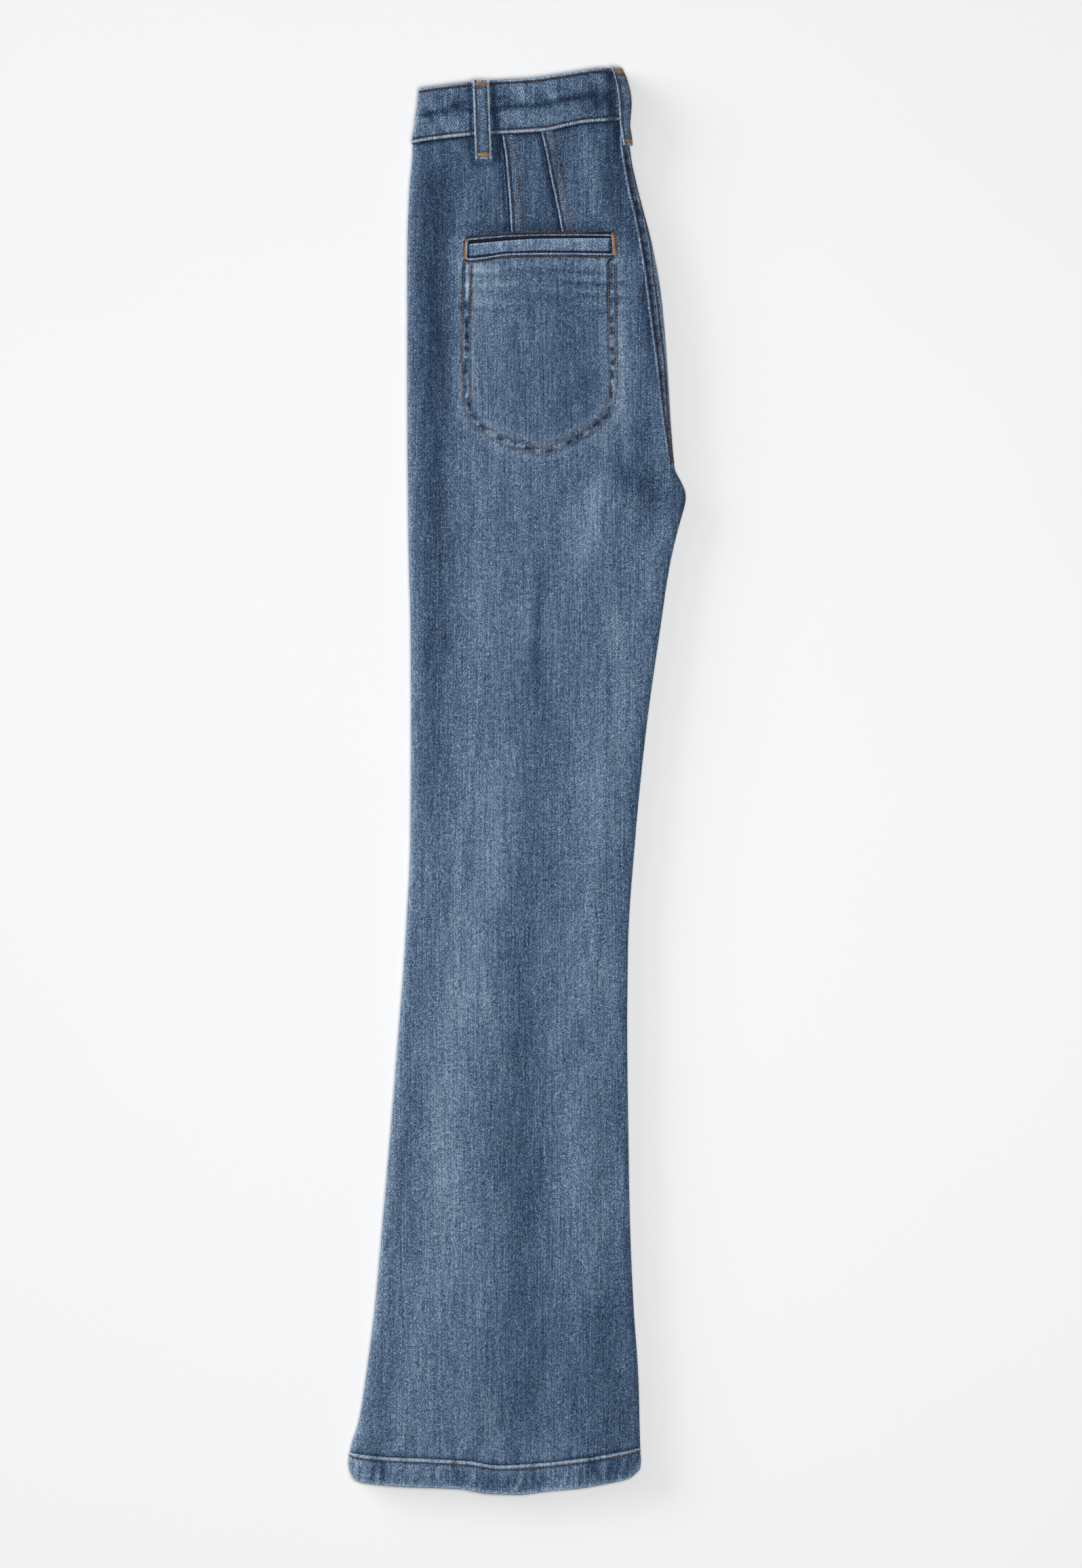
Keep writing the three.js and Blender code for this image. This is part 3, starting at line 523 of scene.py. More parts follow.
@dataclass(frozen=True)
class Stack:
    """The four folded layers: their thickness, their edges and how a section runs round them."""

    cloth: float = 1.2
    band_cloth: float = 2.8
    hem_cloth: float = 2.2
    gap: float = 0.3
    seam_gap: float = 0.4
    leg_height: float = 11.0
    seat_height: float = 12.4
    band_height: float = 13.4
    edge: float = 4.0
    fold_edge: float = 6.5
    strip: float = 14.0
    level: float = 0.24
    inseam: float = 0.37
    first: float = -562.0
    last: float = 538.0
    hem_reach: float = 150.0
    waist_reach: float = 190.0
    seat: Pair = (180.0, 330.0)  # where the stack gets thicker
    waist: Pair = (470.0, 538.0)  # where it gets thinner again
    waist_share: float = 0.4
    fold_from: Pair = (226.0, 246.0)  # where the inseams turn into the centre back fold
    crotch: Pair = (229.0, 238.0)  # where the panels' ends pass from the one to the other
    half_seam: float = 0.006

    def row_y(self, s: Array, u: Array) -> Array:
        """Where on the plan rows lie, which bend along the hem and the waist.

        Args:
            s: Row heights at the middle of the leg.
            u: Shares across the rows.

        Returns:
            The heights.
        """
        hem = Smooth(HEM_TOP)(u) + self.seam_gap - self.first
        waist = Smooth(BAND_BOTTOM)(u) - self.seam_gap - self.last
        near_hem = 1 - smooth_step(self.first, self.first + self.hem_reach, s)
        near_waist = smooth_step(self.last - self.waist_reach, self.last, s)
        return s + hem * near_hem + waist * near_waist

    def body(self, s: Array) -> Rows:
        """The body's sections.

        Args:
            s: Row heights.

        Returns:
            One section a row.
        """
        s = np.asarray(s, float).reshape(-1, 1)
        left, right = outline(self.row_y(s, np.zeros(1)), self.row_y(s, np.ones(1)))
        rise = smooth_step(*self.seat, s) - smooth_step(*self.waist, s) * self.waist_share
        height = mix(self.leg_height, self.seat_height, rise)
        return Rows(left, right, height, smooth_step(*self.fold_from, s), lambda u: self.row_y(s, u))

    def band(self, share: Array) -> Rows:
        """The waistband's sections, from its bottom edge up.

        Args:
            share: Shares of its depth.

        Returns:
            One section a share.
        """
        share = np.asarray(share, float).reshape(-1, 1)
        low, high = Smooth(BAND_BOTTOM), Smooth(BAND_TOP)
        one = np.ones_like(share)
        left, right = Smooth(BAND_LEFT)(share), Smooth(BAND_RIGHT)(share)
        return Rows(left, right, one * self.band_height, one, lambda u: mix(low(u), high(u), share))

    def hem(self, share: Array) -> Rows:
        """The hem's sections, from its edge up.

        Args:
            share: Shares of its depth.

        Returns:
            One section a share.
        """
        share = np.asarray(share, float).reshape(-1, 1)
        low, high = Smooth(HEM_EDGE), Smooth(HEM_TOP)
        ends = [mix(low(np.full(1, u)), high(np.full(1, u)), share) for u in (0.0, 1.0)]
        left, right = outline(*ends)
        one = np.ones_like(share)
        return Rows(left, right, one * self.leg_height, 0 * one, lambda u: mix(low(u), high(u), share))

    def level_x(self, rows: Rows, f: Array) -> Array:
        """Places across the level middle of the sections."""
        return mix(rows.left + self.edge, rows.right - self.strip, f)

    def over_left(self, rows: Rows, middle: Array, half: Array, degrees: Array, depth: Array) -> Array:
        """Places on one leg's folded left edge: 90 degrees is its top, 180 its tip, 270 its underside.

        Args:
            rows: The sections.
            middle: Height of the edge over the surface.
            half: Half of its thickness.
            degrees: Where round the edge the places lie.
            depth: How far in from the outside each place lies.

        Returns:
            The places.
        """
        a = np.radians(degrees)
        x = rows.left + self.edge + (self.edge - depth) * np.cos(a)
        return rows.place(x, middle + (half - depth) * np.sin(a))

    def over_right(self, rows: Rows, share: Array, depth: Array) -> Array:
        """Places round the right strip, from its top at share 0 to its underside at share 1.

        Args:
            rows: The sections.
            share: Where round the strip the places lie.
            depth: How far in from the outside each place lies.

        Returns:
            The places.
        """
        upper = share <= 0.5
        t = np.where(upper, share, 1 - share)
        sign = np.where(upper, 1.0, -1.0)

        def shape(edge: float, middle: Array, half: Array, sweep: float) -> tuple[Array, Array]:
            """One kind of edge: its level part, then its round part.

            Args:
                edge: How wide the round part is.
                middle: Height of the edge over the surface.
                half: Half of its thickness.
                sweep: How far it turns, in radians.

            Returns:
                Places across, and heights from the middle.
            """
            bend = rows.right - edge
            a = np.pi / 2 - sweep * (t - self.level) / (0.5 - self.level)
            flat = t <= self.level
            level_x = mix(rows.right - self.strip, bend, t / self.level)
            x = np.where(flat, level_x, bend + (edge - depth) * np.cos(a))
            return x, middle + np.where(flat, half - depth, (half - depth) * np.sin(a))

        quarter = rows.height / 4
        legs = shape(self.edge, quarter, quarter, np.pi)
        fold = shape(self.fold_edge, 0 * quarter, 2 * quarter, np.pi / 2)
        x = mix(legs[0], fold[0], rows.folded)
        z = mix(legs[1], fold[1], rows.folded)
        return rows.place(x, rows.height / 2 + sign * z)

    def share_inside(self, inset: Array) -> Array:
        """Share of the right strip, over the centre back fold, that lies inset from its tip from above.

        Args:
            inset: Distance in from the tip.

        Returns:
            The share.
        """
        inset = np.asarray(inset, float)
        angle = np.arccos(np.clip(1 - inset / self.fold_edge, -1, 1))
        on_round = 0.5 - (0.5 - self.level) * angle / (np.pi / 2)
        flat = self.level * (1 - (inset - self.fold_edge) / (self.strip - self.fold_edge))
        return np.where(inset < self.fold_edge, on_round, flat)

    def panel_end(self, s: Array) -> Array:
        """Share at which the left back panel ends: at the inseam, or at the seat seam over the fold."""
        over = self.share_inside(Smooth(SEAM_INSET)(s)) - self.half_seam
        return mix(self.inseam, over, smooth_step(*self.crotch, s))

    def under_end(self, s: Array) -> Array:
        """Share at which the right back panel ends, coming from below."""
        over = self.share_inside(Smooth(SEAM_INSET)(s)) + self.half_seam
        return mix(1 - self.inseam, over, smooth_step(*self.crotch, s))

    def round_to(self, end: Array, steps: int, flat_steps: int) -> Array:
        """Shares from 0 over the level part and round the edge to an end, one row for each end.

        Args:
            end: The last share of each row.
            steps: Steps round the edge.
            flat_steps: Steps over the level part.

        Returns:
            The shares.
        """
        end = np.asarray(end, float).reshape(-1, 1)
        level = np.linspace(0, self.level, flat_steps, endpoint=False) * np.ones_like(end)
        return np.hstack([level, mix(self.level, end, np.linspace(0, 1, steps + 1))])


STACK = Stack()


def grid_faces(rows: int, columns: int, start: int = 0, ring: bool = False) -> Array:
    """Quads over a grid of points.

    Args:
        rows: How many rows of points.
        columns: How many points in a row.
        start: Number of the grid's first point.
        ring: Whether a row closes on itself.

    Returns:
        One line of four point numbers for each face.
    """
    i, j = np.meshgrid(np.arange(rows - 1), np.arange(columns if ring else columns - 1), indexing="ij")
    k = (j + 1) % columns
    quads = [i * columns + j, i * columns + k, (i + 1) * columns + k, (i + 1) * columns + j]
    return start + np.stack(quads, -1).reshape(-1, 4)


def closed_faces(rows: int, columns: int) -> list[list[int]]:
    """Faces of a tube of rings, with a cap on each end.

    Args:
        rows: How many rings.
        columns: How many points in a ring.

    Returns:
        Point numbers by face.
    """
    last = (rows - 1) * columns
    caps = [list(range(columns))[::-1], [last + k for k in range(columns)]]
    return grid_faces(rows, columns, 0, True).tolist() + caps


def unrolled(grid: Array) -> Array:
    """Places on the flat cloth for a grid: distance round each row, and height.

    Args:
        grid: The places, one row a section.

    Returns:
        The flat places.
    """
    steps = np.linalg.norm(np.diff(grid, axis=1), axis=2)
    run = np.concatenate([np.zeros((len(grid), 1)), np.cumsum(steps, axis=1)], axis=1)
    middle = grid.shape[1] // 2
    run = run - run[:, middle:middle + 1]
    if grid[0, -1, 0] < grid[0, 0, 0]:
        run = -run
    return np.stack([run + grid[:, middle:middle + 1, 0], grid[..., 1], 0 * run], axis=-1)


class Piece:
    """One visible piece: its mesh, with a tone and a place on the flat cloth at every point."""

    INSIDE_TONE = -0.2

    def __init__(self, name: str) -> None:
        """Starts an empty piece.

        Args:
            name: The piece's name.
        """
        self.name = name
        self.points: list[Array] = []
        self.tones: list[Array] = []
        self.weaves: list[Array] = []
        self.faces: list[list[int]] = []
        self.count = 0

    def add(self, points: Array, faces: Sequence[Sequence[int]], tone: Array | float = 0.0,
            weave: Array | None = None) -> None:
        """Adds points and faces.

        Args:
            points: Places in mm.
            faces: Point numbers, counted from this batch's first point.
            tone: How dark (down to -1) or pale (up to 1) the cloth is there, from wear, wash and painted
                light and shade.
            weave: Places on the flat cloth, in mm, or None to take them from the plan.
        """
        flat = np.asarray(points, float).reshape(-1, 3)
        self.points.append(flat)
        self.weaves.append(flat if weave is None else np.asarray(weave, float).reshape(-1, 3))
        self.tones.append(np.broadcast_to(np.asarray(tone, float).reshape(-1), (len(flat),)))
        self.faces.extend([[n + self.count for n in face] for face in faces])
        self.count += len(flat)

    def wall(self, outer: Array, inner: Array, tone: Array, ring: bool = False,
             keep: Sequence[int] | None = None, plan: bool = False) -> None:
        """Adds a closed wall of cloth between an outer and an inner grid.

        Args:
            outer: Grid of places on the outside.
            inner: Grid on the inside, with as many rows.
            tone: Tone of the outside's places.
            ring: Whether the rows close on themselves.
            keep: The outside's columns that the inside has, or None for all.
            plan: Whether the weave runs as on the plan, for narrow pieces.
        """
        rows, columns = outer.shape[:2]
        within = inner.shape[1]
        start = rows * columns
        faces = [grid_faces(rows, columns, 0, ring), grid_faces(rows, within, start, ring)[:, ::-1]]
        i = np.arange(rows - 1)
        quads = np.vstack(faces).tolist()
        if ring:
            j = np.arange(columns)
            k = (j + 1) % columns
            last = (rows - 1) * columns
            quads += np.stack([k, j, start + j, start + k], -1).tolist()
            quads += np.stack([last + j, last + k, start + last + k, start + last + j], -1).tolist()
        else:
            for a, b, turned in ((0, 0, False), (columns - 1, within - 1, True)):
                o, n = i * columns + a, start + i * within + b
                side = np.stack([o, o + columns, n + within, n], -1)
                quads += (side[:, ::-1] if turned else side).tolist()
            marks = list(range(columns)) if keep is None else list(keep)
            for row in (0, rows - 1):
                for j in range(within - 1):
                    o = [row * columns + k for k in range(marks[j], marks[j + 1] + 1)]
                    loop = o[::-1] + [start + row * within + j, start + row * within + j + 1]
                    quads.append(loop[::-1] if row else loop)
        both = np.concatenate([np.reshape(outer, (-1, 3)), np.reshape(inner, (-1, 3))])
        tones = np.concatenate([np.reshape(tone, -1), np.full(rows * within, self.INSIDE_TONE)])
        flat = both if plan else np.concatenate([np.reshape(unrolled(g), (-1, 3)) for g in (outer, inner)])
        self.add(both, quads, tones, flat)

    def make(self, finish: "Finish") -> bpy.types.Object:
        """Makes the Blender object.

        Args:
            finish: What it is covered in.

        Returns:
            The object, riding on the part's one body.
        """
        mesh = bpy.data.meshes.new(self.name)
        mesh.from_pydata((np.vstack(self.points) * MM).tolist(), [], self.faces)
        if signed_volume(mesh) < 0:
            mesh.flip_normals()
        mesh.polygons.foreach_set("use_smooth", np.ones(len(mesh.polygons), bool))
        tone = mesh.attributes.new("tone", "FLOAT", "POINT")
        tone.data.foreach_set("value", np.concatenate(self.tones).astype(np.float32))
        weave = mesh.attributes.new("weave", "FLOAT_VECTOR", "POINT")
        weave.data.foreach_set("vector", np.vstack(self.weaves).astype(np.float32).ravel())
        mesh.update()
        piece = placed(self.name, mesh)
        piece.data.materials.append(finish.material())
        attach(piece, "root")
        log.info("%s: %d points, %d faces", self.name, len(mesh.vertices), len(mesh.polygons))
        return piece


def placed(name: str, data: Any) -> bpy.types.Object:
    """Puts an object in the scene.

    Args:
        name: Its name.
        data: Its mesh, light or camera.

    Returns:
        The object.
    """
    made = bpy.data.objects.new(name, data)
    bpy.context.scene.collection.objects.link(made)
    return made


def signed_volume(mesh: bpy.types.Mesh) -> float:
    """Volume inside a mesh, negative where its faces point in.

    Args:
        mesh: A closed mesh.

    Returns:
        Six times the volume.
    """
    mesh.calc_loop_triangles()
    points = np.empty(len(mesh.vertices) * 3, np.float32)
    mesh.vertices.foreach_get("co", points)
    corners = np.empty(len(mesh.loop_triangles) * 3, np.int32)
    mesh.loop_triangles.foreach_get("vertices", corners)
    a, b, c = (points.reshape(-1, 3)[corners.reshape(-1, 3)[:, k]].astype(float) for k in range(3))
    return float((a * np.cross(b, c)).sum())


class Surface:
    """A surface that things are laid on from above."""

    ABOVE = 100.0

    def __init__(self, grid: Array) -> None:
        """Takes a grid of places in mm."""
        points = grid.reshape(-1, 3)
        self.tree = BVHTree.FromPolygons(points.tolist(), grid_faces(*grid.shape[:2]).tolist())

    def drop(self, places: Array) -> tuple[Array, Array]:
        """Drops places on the plan onto the surface.

        Args:
            places: Pairs of x and y.

        Returns:
            The places on it and its normals there, pointing up. Beside it the last height holds on.
        """
        out = np.zeros((len(places), 3))
        normals = np.tile([0.0, 0.0, 1.0], (len(places), 1))
        height = 0.0
        for i, (x, y) in enumerate(places):
            hit, normal, _, _ = self.tree.ray_cast(Vector((x, y, self.ABOVE)), Vector((0, 0, -1)))
            if hit is not None:
                height = hit.z
                normals[i] = normal if normal.z > 0 else -normal
            out[i] = (x, y, height)
        return out, normals


class Wire:
    """A socket in a material's nodes, on which sums can be written."""

    def __init__(self, graph: "Graph", socket: bpy.types.NodeSocket) -> None:
        """Wraps a socket."""
        self.graph = graph
        self.socket = socket

    def _math(self, operation: str, *values: Any) -> "Wire":
        """Adds one Math node."""
        return self.graph.node("ShaderNodeMath", {"operation": operation}, dict(enumerate(values)))

    def __add__(self, other: Any) -> "Wire":
        """Sum."""
        return self._math("ADD", self, other)

    def __radd__(self, other: Any) -> "Wire":
        """Sum, the other way round."""
        return self._math("ADD", other, self)

    def __sub__(self, other: Any) -> "Wire":
        """Difference."""
        return self._math("SUBTRACT", self, other)

    def __rsub__(self, other: Any) -> "Wire":
        """Difference, the other way round."""
        return self._math("SUBTRACT", other, self)

    def __mul__(self, other: Any) -> "Wire":
        """Product."""
        return self._math("MULTIPLY", self, other)

    def __rmul__(self, other: Any) -> "Wire":
        """Product, the other way round."""
        return self._math("MULTIPLY", other, self)

    def sine(self) -> "Wire":
        """Sine of an angle in radians."""
        return self._math("SINE", self)

    def clamped(self) -> "Wire":
        """Kept between 0 and 1."""
        return self.graph.node("ShaderNodeClamp", {}, {"Value": self})


class Graph:
    """A material's nodes, added one by one."""

    BUMP_DEPTH = 0.00012

    def __init__(self, name: str) -> None:
        """Starts a material of this name."""
        self.material = bpy.data.materials.new(name)
        self.material.use_nodes = True
        self.tree = self.material.node_tree
        self.tree.nodes.clear()

    def node(self, kind: str, settings: dict[str, Any], values: dict[Any, Any], output: Any = 0) -> Wire:
        """Adds a node.

        Args:
            kind: The node's type.
            settings: Its properties, set first. A ramp's stops are pairs of place and colour.
            values: What its sockets hold or are linked to, by name or number.
            output: The output to read.

        Returns:
            That output.
        """
        node = self.tree.nodes.new(kind)
        for key, value in settings.items():
            if key == "stops":
                ramp = node.color_ramp
                while len(ramp.elements) < len(value):
                    ramp.elements.new(1.0)
                for element, (at, colour) in zip(ramp.elements, value):
                    element.position = at
                    element.color = colour
            else:
                setattr(node, key, value)
        for key, value in values.items():
            if isinstance(value, Wire):
                self.tree.links.new(value.socket, node.inputs[key])
            else:
                node.inputs[key].default_value = value
        return Wire(self, node.outputs[output])

    def mottle(self, scale: float, detail: float) -> Wire:
        """Noise over the object, about 0.5, at a scale in waves per metre."""
        place = self.node("ShaderNodeTexCoord", {}, {}, "Object")
        return self.node("ShaderNodeTexNoise", {}, {"Vector": place, "Scale": scale, "Detail": detail})

    def blend(self, share: Wire, first: Triple, second: Triple) -> Wire:
        """Goes from one colour to another by a share."""
        values = {"Factor": share, 6: linear(*first), 7: linear(*second)}
        return self.node("ShaderNodeMix", {"data_type": "RGBA"}, values, 2)

    def bump(self, height: Wire, strength: float) -> Wire:
        """A normal raised by a height."""
        values = {"Height": height, "Distance": self.BUMP_DEPTH, "Strength": strength}
        return self.node("ShaderNodeBump", {}, values)

    def finished(self, values: dict[str, Any]) -> bpy.types.Material:
        """Links one shader with these values to the output and gives the material.

        Args:
            values: What the shader's sockets hold or are linked to.

        Returns:
            The material.
        """
        shader = self.node("ShaderNodeBsdfPrincipled", {}, values)
        out = self.tree.nodes.new("ShaderNodeOutputMaterial")
        self.tree.links.new(shader.socket, out.inputs["Surface"])
        return self.material


def linear(red: float, green: float, blue: float) -> tuple[float, float, float, float]:
    """A colour as seen on a screen, 0 to 255, as the light that Blender counts in.

    Args:
        red: Red.
        green: Green.
        blue: Blue.

    Returns:
        The colour, with its alpha of 1.
    """
    parts = [c / 255 for c in (red, green, blue)]
    light = [c / 12.92 if c <= 0.04045 else ((c + 0.055) / 1.055) ** 2.4 for c in parts]
    return light[0], light[1], light[2], 1.0


class Finish:
    """What a piece is covered in. The material is made once and shared."""

    name: str
    _made: dict[str, bpy.types.Material] = {}

    def material(self) -> bpy.types.Material:
        """The finish's material."""
        if self.name not in Finish._made:
            Finish._made[self.name] = self.build()
        return Finish._made[self.name]

    def build(self) -> bpy.types.Material:
        """Makes the material."""
        raise NotImplementedError


@dataclass(frozen=True)
class Denim(Finish):
    """Washed stretch denim: a twill of dark dyed and pale threads, worn, stained and given painted light and
    shade by its tone.
    """

    name: str
    lean: float = 58.0  # how steeply the twill's ribs rise, in degrees
    pitch: float = 1.12  # distance between two ribs
    shade: float = 0.0  # overall lightness
    dark: Triple = (14, 24, 43)
    deep: Triple = (35, 56, 86)
    middle: Triple = (71, 97, 126)
    light: Triple = (110, 136, 162)
    pale: Triple = (184, 199, 212)
    stops: tuple[float, ...] = (0.02, 0.27, 0.5, 0.72, 0.98)  # the levels at which these colours stand

    def build(self) -> bpy.types.Material:
        """Makes the twill from sines and noise over the flat cloth."""
        g = Graph(self.name)
        weave = g.node("ShaderNodeAttribute", {"attribute_name": "weave"}, {}, "Vector")
        split = g.node("ShaderNodeSeparateXYZ", {}, {"Vector": weave})
        x, y = (Wire(g, split.socket.node.outputs[k]) for k in range(2))

        def noise(scale_x: float, scale_y: float, seed: float, detail: float = 2.0) -> Wire:
            """Noise about 0, roughly -1 to 1, at scales in waves per mm.

            Args:
                scale_x: Waves per mm across.
                scale_y: Waves per mm along.
                seed: Picks one of many patterns.
                detail: How many finer layers it has.

            Returns:
                The noise.
            """
            where = g.node("ShaderNodeCombineXYZ", {}, {0: x * scale_x + seed, 1: y * scale_y, 2: seed})
            found = g.node("ShaderNodeTexNoise", {"noise_dimensions": "3D"},
                           {"Vector": where, "Scale": 1.0, "Detail": detail, "Roughness": 0.6})
            return (found - 0.5) * 3.2

        cos, sin = math.cos(math.radians(self.lean)), math.sin(math.radians(self.lean))
        across = x * sin - y * cos
        wander = noise(0.06, 0.03, 3.1) * 0.7 + noise(0.9, 0.7, 5.3) * 0.3
        rib = (across * (2 * math.pi / self.pitch) + wander).sine()
        fleck = noise(2.3, 1.35, 7.7, 0.0)
        speck = noise(1.0, 0.7, 11.3, 0.0)
        grit = noise(0.47, 0.4, 61.3, 0.0)
        slub = noise(1.25, 0.035, 21.7, 1.0)
        thick = noise(0.5, 0.02, 71.1, 1.0)
        weft = noise(0.05, 0.9, 31.9, 1.0)
        cluster = noise(0.34, 0.013, 41.3)
        broad = noise(0.05, 0.011, 57.9)
        tone = g.node("ShaderNodeAttribute", {"attribute_name": "tone"}, {}, "Fac")
        cord = (x * (2 * math.pi / 2.4) + noise(0.3, 0.012, 83.0, 0.0) * 2.5).sine()
        threads = rib * 0.265 + fleck * 0.34 + speck * 0.15 + grit * 0.05 + cord * 0.035
        streaks = slub * 0.08 + thick * 0.09 + weft * 0.025 + cluster * 0.03 + broad * 0.03
        level = (threads + streaks + tone * 0.36 + (0.49 + self.shade)).clamped()
        colours = (self.dark, self.deep, self.middle, self.light, self.pale)
        stops = [(at, linear(*colour)) for at, colour in zip(self.stops, colours)]
        colour = g.node("ShaderNodeValToRGB", {"stops": stops}, {"Fac": level})
        height = rib * 0.6 + fleck * 0.5 + speck * 0.3 + slub * 0.2
        rough = (0.86 - tone * 0.05 + speck * 0.03).clamped()
        return g.finished({
            "Base Color": colour, "Roughness": rough, "Normal": g.bump(height, 0.55),
            "Specular IOR Level": 0.18, "Sheen Weight": 0.08, "Sheen Roughness": 0.5,
        })


@dataclass(frozen=True)
class Thread(Finish):
    """Twisted sewing thread."""

    name: str
    colour: Triple
    worn: Triple

    def build(self) -> bpy.types.Material:
        """Makes a thread with a little twist and wear."""
        g = Graph(self.name)
        twist, wear = g.mottle(1600.0, 1.0), g.mottle(90.0, 2.0)
        share = ((wear - 0.5) * 2.2 + (twist - 0.5) * 1.2 + 0.4).clamped()
        return g.finished({
            "Base Color": g.blend(share, self.colour, self.worn), "Roughness": 0.62,
            "Normal": g.bump(twist, 0.6), "Specular IOR Level": 0.3,
        })


@dataclass(frozen=True)
class Plain(Finish):
    """A plain woven cloth or a matt floor: one colour with a faint mottle."""

    name: str
    colour: Triple
    other: Triple
    scale: float = 900.0
    roughness: float = 0.9

    def build(self) -> bpy.types.Material:
        """Makes the mottled colour."""
        g = Graph(self.name)
        colour = g.blend(g.mottle(self.scale, 2.0), self.colour, self.other)
        return g.finished({"Base Color": colour, "Roughness": self.roughness, "Specular IOR Level": 0.1})


class Cloth(Enum):
    """The finishes of the jeans, named after the record's slots."""

    PANEL = Denim("denim")
    EDGES = Denim("denim_edges", shade=-0.04)
    BAND = Denim("waistband_denim", lean=72.0, pitch=1.28, shade=-0.03)
    HEM = Denim("hem_denim", lean=62.0, pitch=1.14, shade=-0.04)
    TRIM = Denim("denim_trim", lean=62.0, pitch=1.24, shade=0.03)
    # The pocket cloth is darkened past its own colour: painted shade, as it shows only through the pocket's
    # shadowed opening
    POCKET = Plain("pocket_cloth", (20, 25, 36), (32, 39, 54))


BROWN = Thread("thread_brown", (58, 40, 34), (104, 78, 62))
TAN = Thread("thread_tan", (98, 70, 54), (150, 120, 96))
GOLD = Thread("thread_gold", (136, 88, 34), (178, 126, 62))


class Stitching:
    """Rows of sewn stitches and bar tacks, gathered into one piece for each kind of thread."""

    # Rings of a stitch from end to end: place along it, size, and height over its middle
    RINGS = ((-1.0, 0.35, -0.9), (-0.78, 0.85, -0.25), (-0.3, 1.0, 0.1), (0.3, 1.0, 0.1), (0.78, 0.85, -0.25),
             (1.0, 0.35, -0.9))
    SIDES = 6

    def __init__(self, name: str, thread: Thread) -> None:
        """Starts with no stitches.

        Args:
            name: Name of the piece.
            thread: What they are sewn with.
        """
        self.piece = Piece(name)
        self.thread = thread
        self.draw = np.random.default_rng(len(name) * 7 + ord(name[-1]))

    def lay(self, middle: Array, ahead: Array, up: Array, length: float, radius: float) -> None:
        """Adds stitches, each a short thread with its ends sunk in the cloth.

        Args:
            middle: Middle of each stitch.
            ahead: The way that each runs.
            up: The cloth's normal under each.
            length: Their length.
            radius: The thread's radius.
        """
        ahead = ahead / np.linalg.norm(ahead, axis=1, keepdims=True)
        side = np.cross(ahead, up)
        side /= np.linalg.norm(side, axis=1, keepdims=True)
        up = np.cross(side, ahead)
        turn = np.arange(self.SIDES) * 2 * np.pi / self.SIDES
        t, size, lift = (np.repeat(column, self.SIDES) for column in np.array(self.RINGS).T)
        t = t * length / 2
        b = size * radius * np.tile(np.cos(turn), len(self.RINGS))
        h = size * radius * np.tile(np.sin(turn), len(self.RINGS)) + lift * radius
        stretch = self.draw.uniform(0.92, 1.08, (len(middle), 1, 1))
        points = middle[:, None] + ahead[:, None] * t[None, :, None] * stretch
        points = points + side[:, None] * b[None, :, None] + up[:, None] * h[None, :, None]
        faces = closed_faces(len(self.RINGS), self.SIDES)
        for stitch in points:
            self.piece.add(stitch, faces)

    def row(self, path: Array, normals: Array, seam: Seam) -> None:
        """Sews a row along a path.

        Args:
            path: Places along the row, on the cloth.
            normals: The cloth's normals there.
            seam: How it is sewn.
        """
        path = path + normals * seam.lift
        run = distances(path)
        count = max(1, int(run[-1] / seam.length))
        at = (np.arange(count) + 0.5) * run[-1] / count

        def pick(values: Array, where: Array) -> Array:
            """Values along the path at some distances."""
            return np.column_stack([np.interp(where, run, values[:, k]) for k in range(3)])

        middle, up = pick(path, at), pick(normals, at)
        ahead = pick(path, at + 0.6) - pick(path, at - 0.6)
        up /= np.linalg.norm(up, axis=1, keepdims=True)
        ahead = ahead + np.cross(ahead, up) * self.draw.uniform(0.02, 0.14, (count, 1))
        self.lay(middle + up * seam.radius * 0.55, ahead, up, seam.length * seam.share, seam.radius)

    def along(self, line: Line, surface: Surface, seam: Seam) -> None:
        """Sews a row along a line on a surface."""
        self.row(*surface.drop(line.points), seam)

    def tack(self, start: Array, end: Array, up: Array, width: float, radius: float = 0.3) -> None:
        """Sews a bar tack: threads side by side across a line.

        Args:
            start: One end of the tack.
            end: The other end.
            up: The cloth's normal.
            width: How long the threads across it are.
            radius: The thread's radius.
        """
        start, end, up = (np.asarray(v, float) for v in (start, end, up))
        length = np.linalg.norm(end - start)
        count = int(length / (radius * 1.55))
        at = (np.arange(count) + 0.5) / count
        ahead = np.cross(up, (end - start) / length)
        middle = start + (end - start) * at[:, None]
        middle = middle + ahead * self.draw.uniform(-0.16, 0.16, (count, 1)) + up * radius * 0.5
        lean = ahead + (end - start) / length * self.draw.uniform(-0.1, 0.16, (count, 1))
        ups = np.broadcast_to(up, middle.shape) + 0.0
        self.lay(middle, lean, ups, width, radius)

    def make(self) -> bpy.types.Object:
        """Makes the piece."""
        piece = self.piece.make(self.thread)
        return piece


BROWN_ROWS = Stitching("stitching_brown", BROWN)
TAN_ROWS = Stitching("stitching_tan", TAN)
TACKS = Stitching("bar_tacks", GOLD)


class Cut(NamedTuple):
    """What a cloth piece is made of, which nodes it stands for, and the cut that it was sewn from.

    The cut's width and length are in metres, and its area is a share of width times length.
    """

    cloth: Cloth
    slot: str
    nodes: tuple[str, ...]
    flat: Pair
    area: float
    rests: tuple[str, ...]


